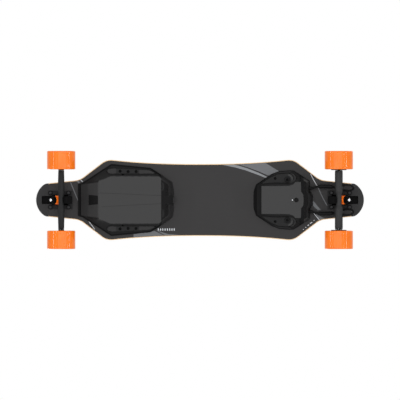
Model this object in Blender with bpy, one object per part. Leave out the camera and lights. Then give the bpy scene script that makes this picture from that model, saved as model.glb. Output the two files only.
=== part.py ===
"""An electric skateboard as an assembly: +X to the nose, +Y to the left, +Z up, metres, standing at z = 0."""

import math

import bmesh
import bpy
from mathutils import Matrix, Vector

GAP = 0.0003

# Board
HALF_LENGTH = 0.475
DECK_BOTTOM = 0.090
DECK_TOP = 0.102
NOSE_RADIUS = 0.0556
NECK_CORNER = (0.4465, 0.0477, 0.012)
NECK_ROOT = (0.3485, 0.0580, 0.050)
SHOULDER = (0.2705, 0.1178, 0.055)
WAIST_HALF_WIDTH = 0.104
WAIST_FLARE = 0.0122
WAIST_END = 0.255
GUARD_SEAM = 0.4386
GUARD_WALL = 0.0035
GUARD_TOP = 0.1033
GUARD_SKIN_TOP = 0.0920
GRIP_TOP = 0.1033
GRIP_INSET = 0.006
SLOT_X = (0.370, 0.458)
SLOT_HALF_WIDTH = 0.0115
SLOT_BELLY_X = (0.380, 0.432)
SLOT_BELLY_HALF_WIDTH = 0.019
LEAD_TUNNEL_Z = (0.0935, 0.0985)
LEAD_TUNNEL_X = (-0.190, 0.138)
LEAD_MOUTH = 0.016

# Trucks: the ring centre is the origin of each truck's own frame
RING_CENTRE = (0.407, 0.0, 0.0645)
KINGPIN_TILT = math.radians(40)
OUT = Vector((math.cos(KINGPIN_TILT), 0, -math.sin(KINGPIN_TILT)))
STEER = Vector((math.sin(KINGPIN_TILT), 0, math.cos(KINGPIN_TILT)))
AXLE = Vector((-0.006, 0, -0.0235))
FLANGE_X = (-0.038, 0.042)
FLANGE_HALF_WIDTH = 0.027
FLANGE_TIP = (0.0525, 0.0160)
FLANGE_TOP = 0.0435
BOLT_X = (-0.0262, 0.0262)
BOLT_HALF_PITCH = 0.0206
BOLT_RADIUS = 0.0024
KINGPIN_RADIUS = 0.005
BUSHING_RADIUS = 0.0130
ROADSIDE_TOP = 0.0190
SEAT = 0.0166
RING_HALF = 0.004
BAR_HALF_LENGTH = 0.0845

# Wheels
WHEEL_RADIUS = 0.041
WHEEL_FACETS = 32
HUB_FACETS = 24
WHEEL_INNER_FACE = 0.0883
WHEEL_WIDTH = 0.0535
AXLE_RADIUS = 0.004

# Enclosures
COVER_TOP = DECK_BOTTOM - GAP
COVER_WALL = 0.0025


def material(name, colour, roughness, metallic=0.0):
    """A Principled material of one colour, made once for each name."""
    made = bpy.data.materials.get(name)
    if made:
        return made
    made = bpy.data.materials.new(name)
    made.use_nodes = True
    shader = made.node_tree.nodes["Principled BSDF"]
    shader.inputs["Base Color"].default_value = (*colour, 1)
    shader.inputs["Roughness"].default_value = roughness
    shader.inputs["Metallic"].default_value = metallic
    made.diffuse_color = (*colour, 1)
    return made


DECK_BLACK = ("deck_black", (0.055, 0.057, 0.060), 0.6)
GRIP_BLACK = ("grip_black", (0.020, 0.020, 0.021), 0.95)
RUBBER = ("rubber_grey", (0.075, 0.075, 0.078), 0.8)
PLASTIC = ("cover_plastic", (0.060, 0.062, 0.066), 0.5)
GLOSS = ("gloss_black", (0.010, 0.010, 0.011), 0.2)
CAST = ("cast_dark_metal", (0.050, 0.052, 0.056), 0.45, 0.8)
STEEL = ("steel", (0.60, 0.60, 0.62), 0.25, 1.0)
BLACK_STEEL = ("black_steel", (0.020, 0.020, 0.022), 0.35, 0.9)
URETHANE = ("orange_urethane", (0.90, 0.20, 0.02), 0.4)
CABLE = ("cable_black", (0.015, 0.015, 0.016), 0.6)
BOARD_GREEN = ("circuit_green", (0.02, 0.12, 0.05), 0.5)
CELL_WRAP = ("cell_wrap", (0.05, 0.12, 0.30), 0.5)
LENS = ("light_lens", (0.85, 0.88, 0.90), 0.1)


def add(name, mesh_maker, look, parent=None, matrix=None):
    """One named object from a filled bmesh, with its normals out and its round faces smooth."""
    bmesh.ops.recalc_face_normals(mesh_maker, faces=mesh_maker.faces)
    mesh = bpy.data.meshes.new(name)
    mesh_maker.to_mesh(mesh)
    mesh_maker.free()
    mesh.shade_smooth()
    mesh.set_sharp_from_angle(angle=math.radians(35))
    mesh.materials.append(material(*look))
    made = bpy.data.objects.new(name, mesh)
    bpy.context.collection.objects.link(made)
    if matrix is not None:
        made.matrix_local = matrix
    made.parent = parent
    return made


def empty(name, location, turn=0.0, parent=None):
    made = bpy.data.objects.new(name, None)
    made.location = location
    made.rotation_euler = (0, 0, turn)
    made.parent = parent
    bpy.context.collection.objects.link(made)
    return made


def loft(rings, closed=False):
    """Quads between rings of equal point counts. An open run gets an end cap on each end."""
    out = bmesh.new()
    made = [[out.verts.new(point) for point in ring] for ring in rings]
    pairs = list(zip(made, made[1:]))
    if closed:
        pairs.append((made[-1], made[0]))
    else:
        out.faces.new(made[0])
        out.faces.new(made[-1])
    for one, two in pairs:
        for i in range(len(one)):
            j = (i + 1) % len(one)
            out.faces.new((one[i], one[j], two[j], two[i]))
    return out


def prism(outline, low, high):
    """A flat outline in XY raised from one height to another."""
    return loft([[(x, y, z) for x, y in outline] for z in (low, high)])


def side_prism(outline, half_width):
    """A side outline in XZ spread to both sides of the centre plane."""
    return loft([[(x, y, z) for x, z in outline] for y in (-half_width, half_width)])


def box(low, high):
    corners = [(low[0], low[1]), (high[0], low[1]), (high[0], high[1]), (low[0], high[1])]
    return prism(corners, low[2], high[2])


def turned(stations, facets, half_step=0.5):
    """A solid turned about Z, from (radius, height) stations, with flat ends."""
    rings = []
    for radius, height in stations:
        ring = []
        for k in range(facets):
            angle = (k + half_step) * math.tau / facets
            ring.append((radius * math.cos(angle), radius * math.sin(angle), height))
        rings.append(ring)
    return loft(rings)


def turned_ring(profile, facets):
    """A ring turned about Z from a closed (radius, height) profile that stays off the axis."""
    rings = []
    for k in range(facets):
        angle = (k + 0.5) * math.tau / facets
        turn = (math.cos(angle), math.sin(angle))
        rings.append([(r * turn[0], r * turn[1], h) for r, h in profile])
    return loft(rings, closed=True)


def tube_profile(inner, outer, low, high):
    return [(inner, low), (outer, low), (outer, high), (inner, high)]


def along(direction, start):
    """Places local +Z along a direction, from a start point."""
    return Matrix.Translation(start) @ Vector(direction).to_track_quat("Z", "X").to_matrix().to_4x4()


def sideways(side, centre):
    """Places local +Z along +Y or -Y, with local Y kept in the upright plane."""
    return Matrix.Translation(centre) @ Matrix.Rotation(-side * math.pi / 2, 4, "X")


def change(target, helper, operation):
    """A Boolean with a hidden helper object."""
    helper.hide_render = True
    helper.display_type = "WIRE"
    modifier = target.modifiers.new(helper.name, "BOOLEAN")
    modifier.object = helper
    modifier.operation = operation
    modifier.solver = "EXACT"


def cut(target, helper):
    change(target, helper, "DIFFERENCE")


def fuse(target, helper):
    change(target, helper, "UNION")


def fillet(before, corner, after, radius, steps):
    """Points of an arc that rounds one corner."""
    corner = Vector(corner)
    one = (Vector(before) - corner).normalized()
    two = (Vector(after) - corner).normalized()
    half = one.angle(two) / 2
    centre = corner + (one + two).normalized() * radius / math.sin(half)
    start = (corner + one * radius / math.tan(half) - centre).normalized()
    end = (corner + two * radius / math.tan(half) - centre).normalized()
    points = []
    for k in range(steps + 1):
        points.append(centre + start.slerp(end, k / steps) * radius)
    return [(point.x, point.y) for point in points]


def neck_half_width(x):
    """The straight side of the neck, between its root and its outer corner."""
    share = (x - NECK_ROOT[0]) / (NECK_CORNER[0] - NECK_ROOT[0])
    return NECK_ROOT[1] + share * (NECK_CORNER[1] - NECK_ROOT[1])


def waist_half_width(x):
    return WAIST_HALF_WIDTH + WAIST_FLARE * (abs(x) / WAIST_END) ** 2.2


def deck_quarter():
    """The deck's edge from the nose tip to the waist, in the +X +Y quarter."""
    centre = HALF_LENGTH - NOSE_RADIUS
    nose = []
    for degrees in range(0, 55, 9):
        angle = math.radians(degrees)
        nose.append((centre + NOSE_RADIUS * math.cos(angle), NOSE_RADIUS * math.sin(angle)))
    waist = [(x, waist_half_width(x)) for x in (0.225, 0.190, 0.150, 0.100, 0.050, 0.0)]
    points = nose
    points += fillet(nose[-1], NECK_CORNER[:2], NECK_ROOT[:2], NECK_CORNER[2] * 0.7, 3)
    points += fillet(NECK_CORNER[:2], NECK_ROOT[:2], SHOULDER[:2], NECK_ROOT[2], 4)
    points += fillet(NECK_ROOT[:2], SHOULDER[:2], waist[0], SHOULDER[2] * 0.8, 5)
    return points + waist


def four_quarters(quarter):
    """A whole outline from one quarter that runs from the X axis to the Y axis."""
    left = quarter + [(-x, y) for x, y in reversed(quarter[:-1])]
    return left + [(x, -y) for x, y in reversed(left[1:-1])]


def inset(outline, distance):
    """The outline moved inwards, for an outline that runs anticlockwise."""
    moved = []
    count = len(outline)
    for i, here in enumerate(outline):
        before = Vector(outline[i - 1])
        after = Vector(outline[(i + 1) % count])
        edge = (after - before).normalized()
        moved.append((here[0] - edge.y * distance, here[1] + edge.x * distance))
    return moved


def beyond(outline, seam, half_width):
    """The part of an outline on the +X side of a seam across it, anticlockwise."""
    upper = [point for point in outline if point[0] > seam and point[1] >= 0]
    lower = [point for point in outline if point[0] > seam and point[1] < 0]
    return lower + upper + [(seam, half_width), (seam, -half_width)]


def stepped_outline(outline):
    """The deck's own edge: set back under the guards at both tips."""
    tip = inset(outline, GUARD_WALL)
    wide = neck_half_width(GUARD_SEAM)
    narrow = wide - GUARD_WALL
    quarter = [point for point in tip if point[0] > GUARD_SEAM + 0.002 and point[1] >= 0]
    quarter += [(GUARD_SEAM, narrow), (GUARD_SEAM, wide)]
    quarter += [point for point in outline if -1e-9 <= point[0] < GUARD_SEAM - 0.002 and point[1] > 0]
    return four_quarters(quarter)


def slot_outline(clearance=0.0):
    """The long drop-through opening with its wider belly."""
    narrow = SLOT_HALF_WIDTH + clearance
    wide = SLOT_BELLY_HALF_WIDTH + clearance
    low, high = SLOT_X[0] - clearance, SLOT_X[1] + clearance
    belly = (SLOT_BELLY_X[0] - clearance, SLOT_BELLY_X[1] + clearance)
    upper = [(high, narrow), (belly[1] + 0.004, narrow), (belly[1], wide), (belly[0], wide)]
    upper += [(belly[0] - 0.004, narrow), (low, narrow)]
    return [(x, -y) for x, y in reversed(upper)] + upper


def bolt_places():
    return [(x, y) for x in BOLT_X for y in (-BOLT_HALF_PITCH, BOLT_HALF_PITCH)]


def bolt_drill(name, parent, bottom, top):
    """Four bolt holes as one cutter."""
    out = bmesh.new()
    for x, y in bolt_places():
        rod = turned([(BOLT_RADIUS + GAP, bottom), (BOLT_RADIUS + GAP, top)], 10)
        rod.transform(Matrix.Translation((x, y, 0)))
        part = bpy.data.meshes.new(name)
        rod.to_mesh(part)
        rod.free()
        out.from_mesh(part)
        bpy.data.meshes.remove(part)
    return add(name, out, STEEL, parent)


def make_deck(outline, trucks):
    deck = add("deck", prism(stepped_outline(outline), DECK_BOTTOM, DECK_TOP), DECK_BLACK)
    for truck in trucks:
        end = truck.name
        slot = add(f"{end}_deck_slot_cutter", prism(slot_outline(), 0.08, 0.11), DECK_BLACK)
        slot.rotation_euler = truck.rotation_euler
        cut(deck, slot)
        low = (GUARD_SEAM, -0.06, 0.08)
        high = (HALF_LENGTH + 0.01, 0.06, GUARD_SKIN_TOP + GAP)
        recess = add(f"{end}_deck_recess_cutter", box(low, high), DECK_BLACK)
        recess.rotation_euler = truck.rotation_euler
        cut(deck, recess)
        cut(deck, bolt_drill(f"{end}_deck_drill_cutter", truck, 0.02, 0.05))
    return deck


def cut_lead_tunnel(deck):
    """A passage inside the laminate that opens downwards under each enclosure."""
    low, high = LEAD_TUNNEL_Z
    first, last = LEAD_TUNNEL_X
    side = [
        (first, 0.080), (first + LEAD_MOUTH, 0.080), (first + LEAD_MOUTH, low),
        (last - LEAD_MOUTH, low), (last - LEAD_MOUTH, 0.080), (last, 0.080),
        (last, high), (first, high),
    ]
    cut(deck, add("lead_tunnel_cutter", side_prism(side, 0.006), DECK_BLACK))


def make_grip_tape(outline, trucks):
    tape = add("grip_tape", prism(inset(outline, GRIP_INSET), DECK_TOP + GAP, GRIP_TOP), GRIP_BLACK)
    for truck in trucks:
        window = prism(flange_outline(0.001), 0.03, 0.06)
        cut(tape, add(f"{truck.name}_grip_window_cutter", window, GRIP_BLACK, truck))
    return tape


def make_guard(name, outline, turn):
    """A rubber cap round one tip: a skin under the board and a wall round its edge."""
    wide = neck_half_width(GUARD_SEAM)
    outer = beyond(outline, GUARD_SEAM + GAP, wide)
    guard = add(name, prism(outer, DECK_BOTTOM, GUARD_TOP), RUBBER)
    room = beyond(inset(outline, GUARD_WALL - GAP), GUARD_SEAM - 0.004, wide - GUARD_WALL + GAP)
    inside = add(f"{name}_room_cutter", prism(room, GUARD_SKIN_TOP, 0.12), RUBBER)
    slot = add(f"{name}_slot_cutter", prism(slot_outline(0.0006), 0.08, 0.12), RUBBER)
    for piece in (guard, inside, slot):
        piece.rotation_euler = (0, 0, turn)
    cut(guard, inside)
    cut(guard, slot)


def make_backing_plate(truck):
    """The thin plate under the deck that the truck's nuts pull against."""
    top = DECK_BOTTOM - RING_CENTRE[2] - GAP
    bottom = top - 0.002
    low, high = FLANGE_X[0], GUARD_SEAM - RING_CENTRE[0] - 0.001
    outline = [(low, -FLANGE_HALF_WIDTH), (high - 0.006, -FLANGE_HALF_WIDTH)]
    outline += [(high, -FLANGE_HALF_WIDTH + 0.006), (high, FLANGE_HALF_WIDTH - 0.006)]
    outline += [(high - 0.006, FLANGE_HALF_WIDTH), (low, FLANGE_HALF_WIDTH)]
    plate = add(f"{truck.name}_backing_plate", prism(outline, bottom, top), CAST, truck)
    window = [(-0.034, -0.0120), (-0.025, -0.0120), (-0.025, -0.0155), (0.0215, -0.0155)]
    window += [(0.0215, -0.0120), (high + 0.01, -0.0120)]
    window += [(x, -y) for x, y in reversed(window)]
    cut(plate, add(f"{truck.name}_plate_window_cutter", prism(window, 0.01, 0.05), CAST, truck))
    cut(plate, bolt_drill(f"{truck.name}_plate_drill_cutter", truck, 0.02, 0.05))


def flange_outline(margin=0.0):
    """The baseplate's flange, which narrows to a tongue over the slot's outer end."""
    low, high, side = FLANGE_X[0] - margin, FLANGE_X[1] + margin, FLANGE_HALF_WIDTH + margin
    tip, tip_side = FLANGE_TIP[0] + margin, FLANGE_TIP[1] + margin
    return [(tip, -tip_side), (tip, tip_side), (high, side), (low, side), (low, -side), (high, -side)]


def make_baseplate(truck):
    """Flange on the deck, wedge through the slot with the bushing seat, and the pivot tower."""
    deck_top = DECK_TOP - RING_CENTRE[2] + GAP
    plate = add(f"{truck.name}_baseplate", prism(flange_outline(), deck_top, FLANGE_TOP), CAST, truck)
    seat_top = -SEAT * OUT + 0.013 * STEER
    seat_low = -SEAT * OUT - 0.013 * STEER
    cup_mouth, cup_foot, cup_half = 0.033, 0.046, 0.011
    profile = [(-0.033, 0.041), (0.012, 0.041), (0.012, 0.0275), (seat_top.x, seat_top.z)]
    profile.append((seat_low.x, seat_low.z))
    corners = [
        -cup_mouth * STEER - cup_half * OUT, -cup_mouth * STEER + cup_half * OUT,
        -cup_foot * STEER + cup_half * OUT, -cup_foot * STEER - cup_half * OUT,
    ]
    profile += [(corner.x, corner.z) for corner in corners]
    profile += [(-0.0355, 0.0), (-0.033, 0.020)]
    body = add(f"{truck.name}_baseplate_body_helper", side_prism(profile, 0.0108), CAST, truck)
    fuse(plate, body)
    kingpin_bore = turned([(KINGPIN_RADIUS + GAP, -0.0333), (KINGPIN_RADIUS + GAP, 0)], 16)
    cut(plate, add(f"{truck.name}_kingpin_bore_cutter", kingpin_bore, CAST, truck, along(OUT, (0, 0, 0))))
    cup_bore = turned([(0.0079, 0.030), (0.0079, 0.0433)], 16)
    cut(plate, add(f"{truck.name}_cup_bore_cutter", cup_bore, CAST, truck, along(-STEER, (0, 0, 0))))
    cut(plate, bolt_drill(f"{truck.name}_flange_drill_cutter", truck, 0.02, 0.05))


def make_truck_hardware(truck):
    """Pivot cup, kingpin, nut, bushings and the four through bolts of one truck."""
    end = truck.name
    cup = [(0.0060, 0.0335), (0.0076, 0.0335), (0.0076, 0.0430), (0.0060, 0.0430)]
    add(f"{end}_pivot_cup", turned_ring(cup, 16), RUBBER, truck, along(-STEER, (0, 0, 0)))
    outwards = along(OUT, (0, 0, 0))
    pin = turned([(KINGPIN_RADIUS, -0.0330), (KINGPIN_RADIUS, 0.0330), (0.0040, 0.0340)], 16)
    add(f"{end}_kingpin", pin, STEEL, truck, outwards)
    bore = KINGPIN_RADIUS + GAP
    inner = tube_profile(bore, BUSHING_RADIUS, -SEAT + GAP, -RING_HALF - GAP)
    add(f"{end}_boardside_bushing", turned_ring(inner, 20), URETHANE, truck, outwards)
    seat, top = RING_HALF + GAP, ROADSIDE_TOP
    outer = [(bore, seat), (BUSHING_RADIUS, seat), (0.0116, top), (bore, top)]
    add(f"{end}_roadside_bushing", turned_ring(outer, 20), URETHANE, truck, outwards)
    under, over, end_face = top + GAP, top + 0.0023, top + 0.0107
    nut = [(bore, under), (0.0125, under), (0.0125, over), (0.0086, over), (0.0086, end_face), (bore, end_face)]
    add(f"{end}_kingpin_nut", turned_ring(nut, 12), BLACK_STEEL, truck, outwards)
    head = FLANGE_TOP + GAP
    foot = DECK_BOTTOM - RING_CENTRE[2] - 0.0026
    stations = [(0.0046, foot - 0.0045), (0.0046, foot), (BOLT_RADIUS, foot)]
    stations += [(BOLT_RADIUS, head), (0.0046, head), (0.0042, head + 0.0024)]
    for number, (x, y) in enumerate(bolt_places(), 1):
        place = Matrix.Translation((x, y, 0))
        add(f"{end}_truck_bolt_{number}", turned(stations, 6, 0.0), BLACK_STEEL, truck, place)


def hanger_bar(end):
    """(radius, Y) stations of the bar: tapered in front, straight and thicker at the motors."""
    tip = BAR_HALF_LENGTH
    waist = 0.0080
    if end == "front":
        half = [(waist, 0.016), (0.0100, 0.024), (0.0085, tip)]
    else:
        half = [(waist, 0.016), (0.0115, 0.024), (0.0115, tip)]
    return [(radius, -y) for radius, y in reversed(half)] + half


def make_hanger(truck, steering):
    """Bar, ring, web and pivot nose as one casting, bored for the kingpin and the axle."""
    end = truck.name
    bar = turned(hanger_bar(end), 20)
    hanger = add(f"{end}_hanger", bar, CAST, steering, sideways(1, AXLE))
    ring = turned([(0.016, -RING_HALF), (0.016, RING_HALF)], 24)
    fuse(hanger, add(f"{end}_ring_helper", ring, CAST, steering, along(OUT, (0, 0, 0))))
    inside = 0.8 * RING_HALF
    web = [
        tuple((-inside * OUT - 0.0095 * STEER).xz), tuple((inside * OUT - 0.0136 * STEER).xz),
        (AXLE.x + 0.0070, AXLE.z + 0.002), (AXLE.x - 0.0070, AXLE.z + 0.002),
    ]
    fuse(hanger, add(f"{end}_web_helper", side_prism(web, 0.0125), CAST, steering))
    nose = turned([(0.0070, 0.0135), (0.0055, 0.030), (0.0050, 0.0420)], 16)
    fuse(hanger, add(f"{end}_nose_helper", nose, CAST, steering, along(-STEER, (0, 0, 0))))
    bore = turned([(0.0082, -0.010), (0.0082, 0.010)], 20)
    cut(hanger, add(f"{end}_ring_bore_cutter", bore, CAST, steering, along(OUT, (0, 0, 0))))
    axle_hole = turned([(AXLE_RADIUS + GAP, -0.1), (AXLE_RADIUS + GAP, 0.1)], 12)
    cut(hanger, add(f"{end}_axle_hole_cutter", axle_hole, CAST, steering, sideways(1, AXLE)))
    reach = WHEEL_INNER_FACE + WHEEL_WIDTH - 0.0015
    axle = turned([(AXLE_RADIUS, -reach), (AXLE_RADIUS, reach)], 12)
    add(f"{end}_axle", axle, STEEL, steering, sideways(1, AXLE))


def tyre_profile(inner, inset_face):
    """Tyre section from its inner radius to the rolling face, with rounded lips."""
    tread = WHEEL_RADIUS / math.cos(math.pi / WHEEL_FACETS)
    last = WHEEL_WIDTH
    return [
        (inner, inset_face), (0.0365, 0.0), (tread, 0.0055),
        (tread, last - 0.0055), (0.0365, last), (inner, last - inset_face),
    ]


def make_front_wheel(name, hub, side):
    """Tyre on a core that turns on a bearing set, held by an axle nut."""
    place = sideways(side, (0, side * WHEEL_INNER_FACE, 0))
    core_radius, seat = 0.0220, 0.0112
    add(f"{name}_tyre", turned_ring(tyre_profile(core_radius, 0.003), WHEEL_FACETS), URETHANE, hub, place)
    core = tube_profile(seat, core_radius - GAP, 0.0050, WHEEL_WIDTH - 0.0050)
    add(f"{name}_core", turned_ring(core, HUB_FACETS), GLOSS, hub, place)
    bore = AXLE_RADIUS + GAP
    outer = seat - GAP
    race, low, high = 0.0070, 0.0060, WHEEL_WIDTH - 0.0060
    bearings = [
        (bore, low), (outer, low), (outer, low + 0.007), (race, low + 0.007),
        (race, high - 0.007), (outer, high - 0.007), (outer, high), (bore, high),
    ]
    add(f"{name}_bearing_set", turned_ring(bearings, 20), STEEL, hub, place)
    nut = tube_profile(bore / math.cos(math.pi / 6), 0.0075, high + GAP, high + 0.0045)
    add(f"{name}_axle_nut", turned_ring(nut, 6), BLACK_STEEL, hub, place)


def make_rear_wheel(name, hub, steering, side):
    """Tyre sleeve on a motor can that turns about a stator fixed to the hanger."""
    place = sideways(side, (0, side * WHEEL_INNER_FACE, 0))
    can_radius, wall = 0.0318, 0.0025
    add(f"{name}_tyre", turned_ring(tyre_profile(can_radius, 0.001), WHEEL_FACETS), URETHANE, hub, place)
    bore = AXLE_RADIUS + GAP
    outer = can_radius - GAP
    low, high = 0.0040, WHEEL_WIDTH - 0.0040
    can = [
        (0.0232, low), (outer, low), (outer, high), (bore, high), (bore, high - 0.003),
        (outer - wall, high - 0.003), (outer - wall, low + 0.0025), (0.0232, low + 0.0025),
    ]
    add(f"{name}_motor_can", turned_ring(can, HUB_FACETS), GLOSS, hub, place)
    stator = [
        (bore, -0.0020), (0.0225, -0.0020), (0.0225, 0.0040), (0.0150, 0.0075), (0.0150, 0.0100),
        (0.0265, 0.0100), (0.0265, 0.0400), (bore, 0.0400),
    ]
    stator_place = sideways(side, AXLE + Vector((0, side * WHEEL_INNER_FACE, 0)))
    if steering.parent is not None and steering.parent.name == "rear":
        stator_place = sideways(-side, AXLE + Vector((0, -side * WHEEL_INNER_FACE, 0)))
    add(f"{name}_stator", turned_ring(stator, 24), BLACK_STEEL, steering, stator_place)
    nut = tube_profile(bore / math.cos(math.pi / 6), 0.0075, high + GAP, high + 0.0035)
    add(f"{name}_axle_nut", turned_ring(nut, 6), BLACK_STEEL, hub, place)


def mirrored(half):
    """A closed outline from its +Y half, listed from +X to -X."""
    return half + [(x, -y) for x, y in reversed(half)]


def shrink(points, wall):
    """Corner points drawn towards their own middle by a wall thickness on each side."""
    middle = sum(x for x, _ in points) / len(points)
    moved = []
    for x, y in points:
        moved.append((x - math.copysign(wall, x - middle), y - math.copysign(wall, y)))
    return moved


def shell(name, base, crown, crown_z, skirt, look):
    """An open-topped cover: a straight skirt at the deck, then sloping sides to a flat crown."""
    skirt_z = COVER_TOP - skirt
    inner_base, inner_crown = shrink(base, COVER_WALL), shrink(crown, COVER_WALL)
    rings = [
        [(x, y, crown_z) for x, y in crown],
        [(x, y, skirt_z) for x, y in base],
        [(x, y, COVER_TOP) for x, y in base],
        [(x, y, COVER_TOP) for x, y in inner_base],
        [(x, y, skirt_z + 0.001) for x, y in inner_base],
        [(x, y, crown_z + COVER_WALL) for x, y in inner_crown],
    ]
    return add(name, loft(rings), look)


BATTERY_BASE = [(0.353, 0.0466), (0.257, 0.1045), (0.143, 0.0933), (0.1120, 0.0740)]
BATTERY_CROWN = [(0.293, 0.0545), (0.2587, 0.0680), (0.143, 0.0680), (0.1120, 0.0660)]
BATTERY_CROWN_Z = 0.052
BATTERY_CAP_BASE = [(0.1117, 0.0740), (0.080, 0.0510), (0.0754, 0.0300)]
BATTERY_CAP_CROWN = [(0.1117, 0.0630), (0.084, 0.0470), (0.0800, 0.0290)]
SOCKET_Z = 0.0720
CAP_NOTCH_X = 0.0785


def cap_solid(name, base, crown, crown_z):
    return add(name, loft([[(*p, crown_z) for p in crown], [(*p, COVER_TOP) for p in base]]), GLOSS)


def make_battery():
    base, crown = mirrored(BATTERY_BASE), mirrored(BATTERY_CROWN)
    cover = shell("battery_cover", base, crown, BATTERY_CROWN_Z, 0.004, PLASTIC)
    window = [(0.3222, 0.0149), (0.2950, 0.0121)]
    cut(cover, add("release_window_cutter", prism(mirrored(window), 0.045, 0.080), PLASTIC))
    release = [(0.3218, 0.0145), (0.2954, 0.0117)]
    rings = [[(x, y, release_face(x) + rise) for x, y in mirrored(release)] for rise in (-0.0012, 0.0050)]
    add("battery_release", loft(rings), GLOSS)
    cap = cap_solid("battery_end_cap", mirrored(BATTERY_CAP_BASE), mirrored(BATTERY_CAP_CROWN), 0.0535)
    notch = box((0.065, -0.0105, 0.045), (CAP_NOTCH_X, 0.0105, 0.100))
    cut(cap, add("cap_notch_cutter", notch, GLOSS))
    hole = turned([(0.0068, 0.0), (0.0068, 0.030)], 20)
    cut(cap, add("socket_pocket_cutter", hole, GLOSS, None, along((1, 0, 0), (0.070, 0, SOCKET_Z))))
    add("battery_pack", box((0.122, -0.054, 0.0570), (0.268, 0.054, 0.0800)), CELL_WRAP)


def release_face(x):
    """Height of the sloping front face of the battery cover."""
    front, front_z = BATTERY_BASE[0][0], COVER_TOP - 0.004
    back = BATTERY_CROWN[0][0]
    return BATTERY_CROWN_Z + (x - back) * (front_z - BATTERY_CROWN_Z) / (front - back)


def make_charge_port():
    """A round socket in the battery end cap behind a hinged rubber cap."""
    inwards = along((1, 0, 0), (CAP_NOTCH_X + 0.0005, 0, SOCKET_Z))
    socket = [(0.0042, 0.0), (0.0064, 0.0), (0.0064, 0.0195), (0.0022, 0.0195), (0.0022, 0.0110), (0.0042, 0.0110)]
    add("charge_socket", turned_ring(socket, 20), STEEL, None, inwards)
    hinge = empty("charge_cap_hinge", (CAP_NOTCH_X - 0.0005, 0, SOCKET_Z + 0.0100))
    lid = [(0.0, -0.0170), (0.0, 0.0002), (-0.0022, 0.0002), (-0.0022, -0.0170)]
    add("charge_cap", side_prism(lid, 0.0075), RUBBER, hinge)


ESC_BASE = [(-0.156, 0.0300), (-0.205, 0.0725), (-0.262, 0.0860), (-0.2993, 0.0680)]
ESC_CROWN = [(-0.184, 0.0380), (-0.210, 0.0440), (-0.265, 0.0500), (-0.2993, 0.0500)]
ESC_CROWN_Z = 0.054
ESC_CAP_BASE = [(-0.2996, 0.0660), (-0.3185, 0.0550), (-0.3185, 0.0252), (-0.3270, 0.0150)]
ESC_CAP_CROWN = [(-0.2996, 0.0490), (-0.3145, 0.0460), (-0.3150, 0.0240), (-0.3220, 0.0140)]
BUTTON_X = -0.2785
LENS_X = -0.2672
BUTTON_RADIUS = 0.0062
BUTTON_TRAVEL = 0.0010
OUTLET_Z = 0.0745
OUTLET_Y = 0.0340


def make_controller():
    cover = shell("controller_cover", mirrored(ESC_BASE), mirrored(ESC_CROWN), ESC_CROWN_Z, 0.004, PLASTIC)
    down = ESC_CROWN_Z - 0.004
    for name, x, radius in (("button", BUTTON_X, BUTTON_RADIUS), ("lens", LENS_X, 0.0018)):
        hole = turned([(radius + GAP, down), (radius + GAP, down + 0.012)], 20)
        cut(cover, add(f"{name}_hole_cutter", hole, PLASTIC, None, Matrix.Translation((x, 0, 0))))
    face = ESC_CROWN_Z
    button = [(BUTTON_RADIUS - 0.0004, face - 0.0014), (BUTTON_RADIUS, face - 0.0009)]
    button += [(BUTTON_RADIUS, face + 0.0035)]
    add("power_button", turned(button, 20), GLOSS, None, Matrix.Translation((BUTTON_X, 0, 0)))
    lens = turned([(0.0018, face - 0.0002), (0.0018, face + 0.0035)], 12)
    add("status_light_lens", lens, LENS, None, Matrix.Translation((LENS_X, 0, 0)))
    add("controller_board", box((-0.272, -0.036, 0.0640), (-0.205, 0.036, 0.0656)), BOARD_GREEN)
    cap = cap_solid("controller_end_cap", mirrored(ESC_CAP_BASE), mirrored(ESC_CAP_CROWN), 0.0550)
    for side in (-1, 1):
        hole = turned([(0.0040, -0.012), (0.0040, 0.030)], 12)
        place = along((-1, 0, 0), (-0.3085, side * OUTLET_Y, OUTLET_Z))
        label = "left" if side > 0 else "right"
        cut(cap, add(f"{label}_outlet_cutter", hole, GLOSS, None, place))


def smooth_route(route, spacing):
    """Points at an even step along a smooth curve through a route's own points."""
    points = [Vector(point) for point in route]
    points = [2 * points[0] - points[1]] + points + [2 * points[-1] - points[-2]]
    out = []
    for a, b, c, d in zip(points, points[1:], points[2:], points[3:]):
        steps = max(2, round((c - b).length / spacing))
        for k in range(steps):
            t = k / steps
            out.append(0.5 * (2 * b + (c - a) * t + (2 * a - 5 * b + 4 * c - d) * t**2 + (3 * b - a - 3 * c + d) * t**3))
    return out + [points[-2]]


def cable(name, route, radius, look, spacing):
    """A round cable along a route, as a bevelled curve with filled ends."""
    curve = bpy.data.curves.new(name, "CURVE")
    curve.dimensions = "3D"
    curve.bevel_depth = radius
    curve.bevel_resolution = 2
    curve.use_fill_caps = True
    points = smooth_route(route, spacing)
    spline = curve.splines.new("POLY")
    spline.points.add(len(points) - 1)
    for slot, point in zip(spline.points, points):
        slot.co = (*point, 1)
    curve.materials.append(material(*look))
    made = bpy.data.objects.new(name, curve)
    bpy.context.collection.objects.link(made)


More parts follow.
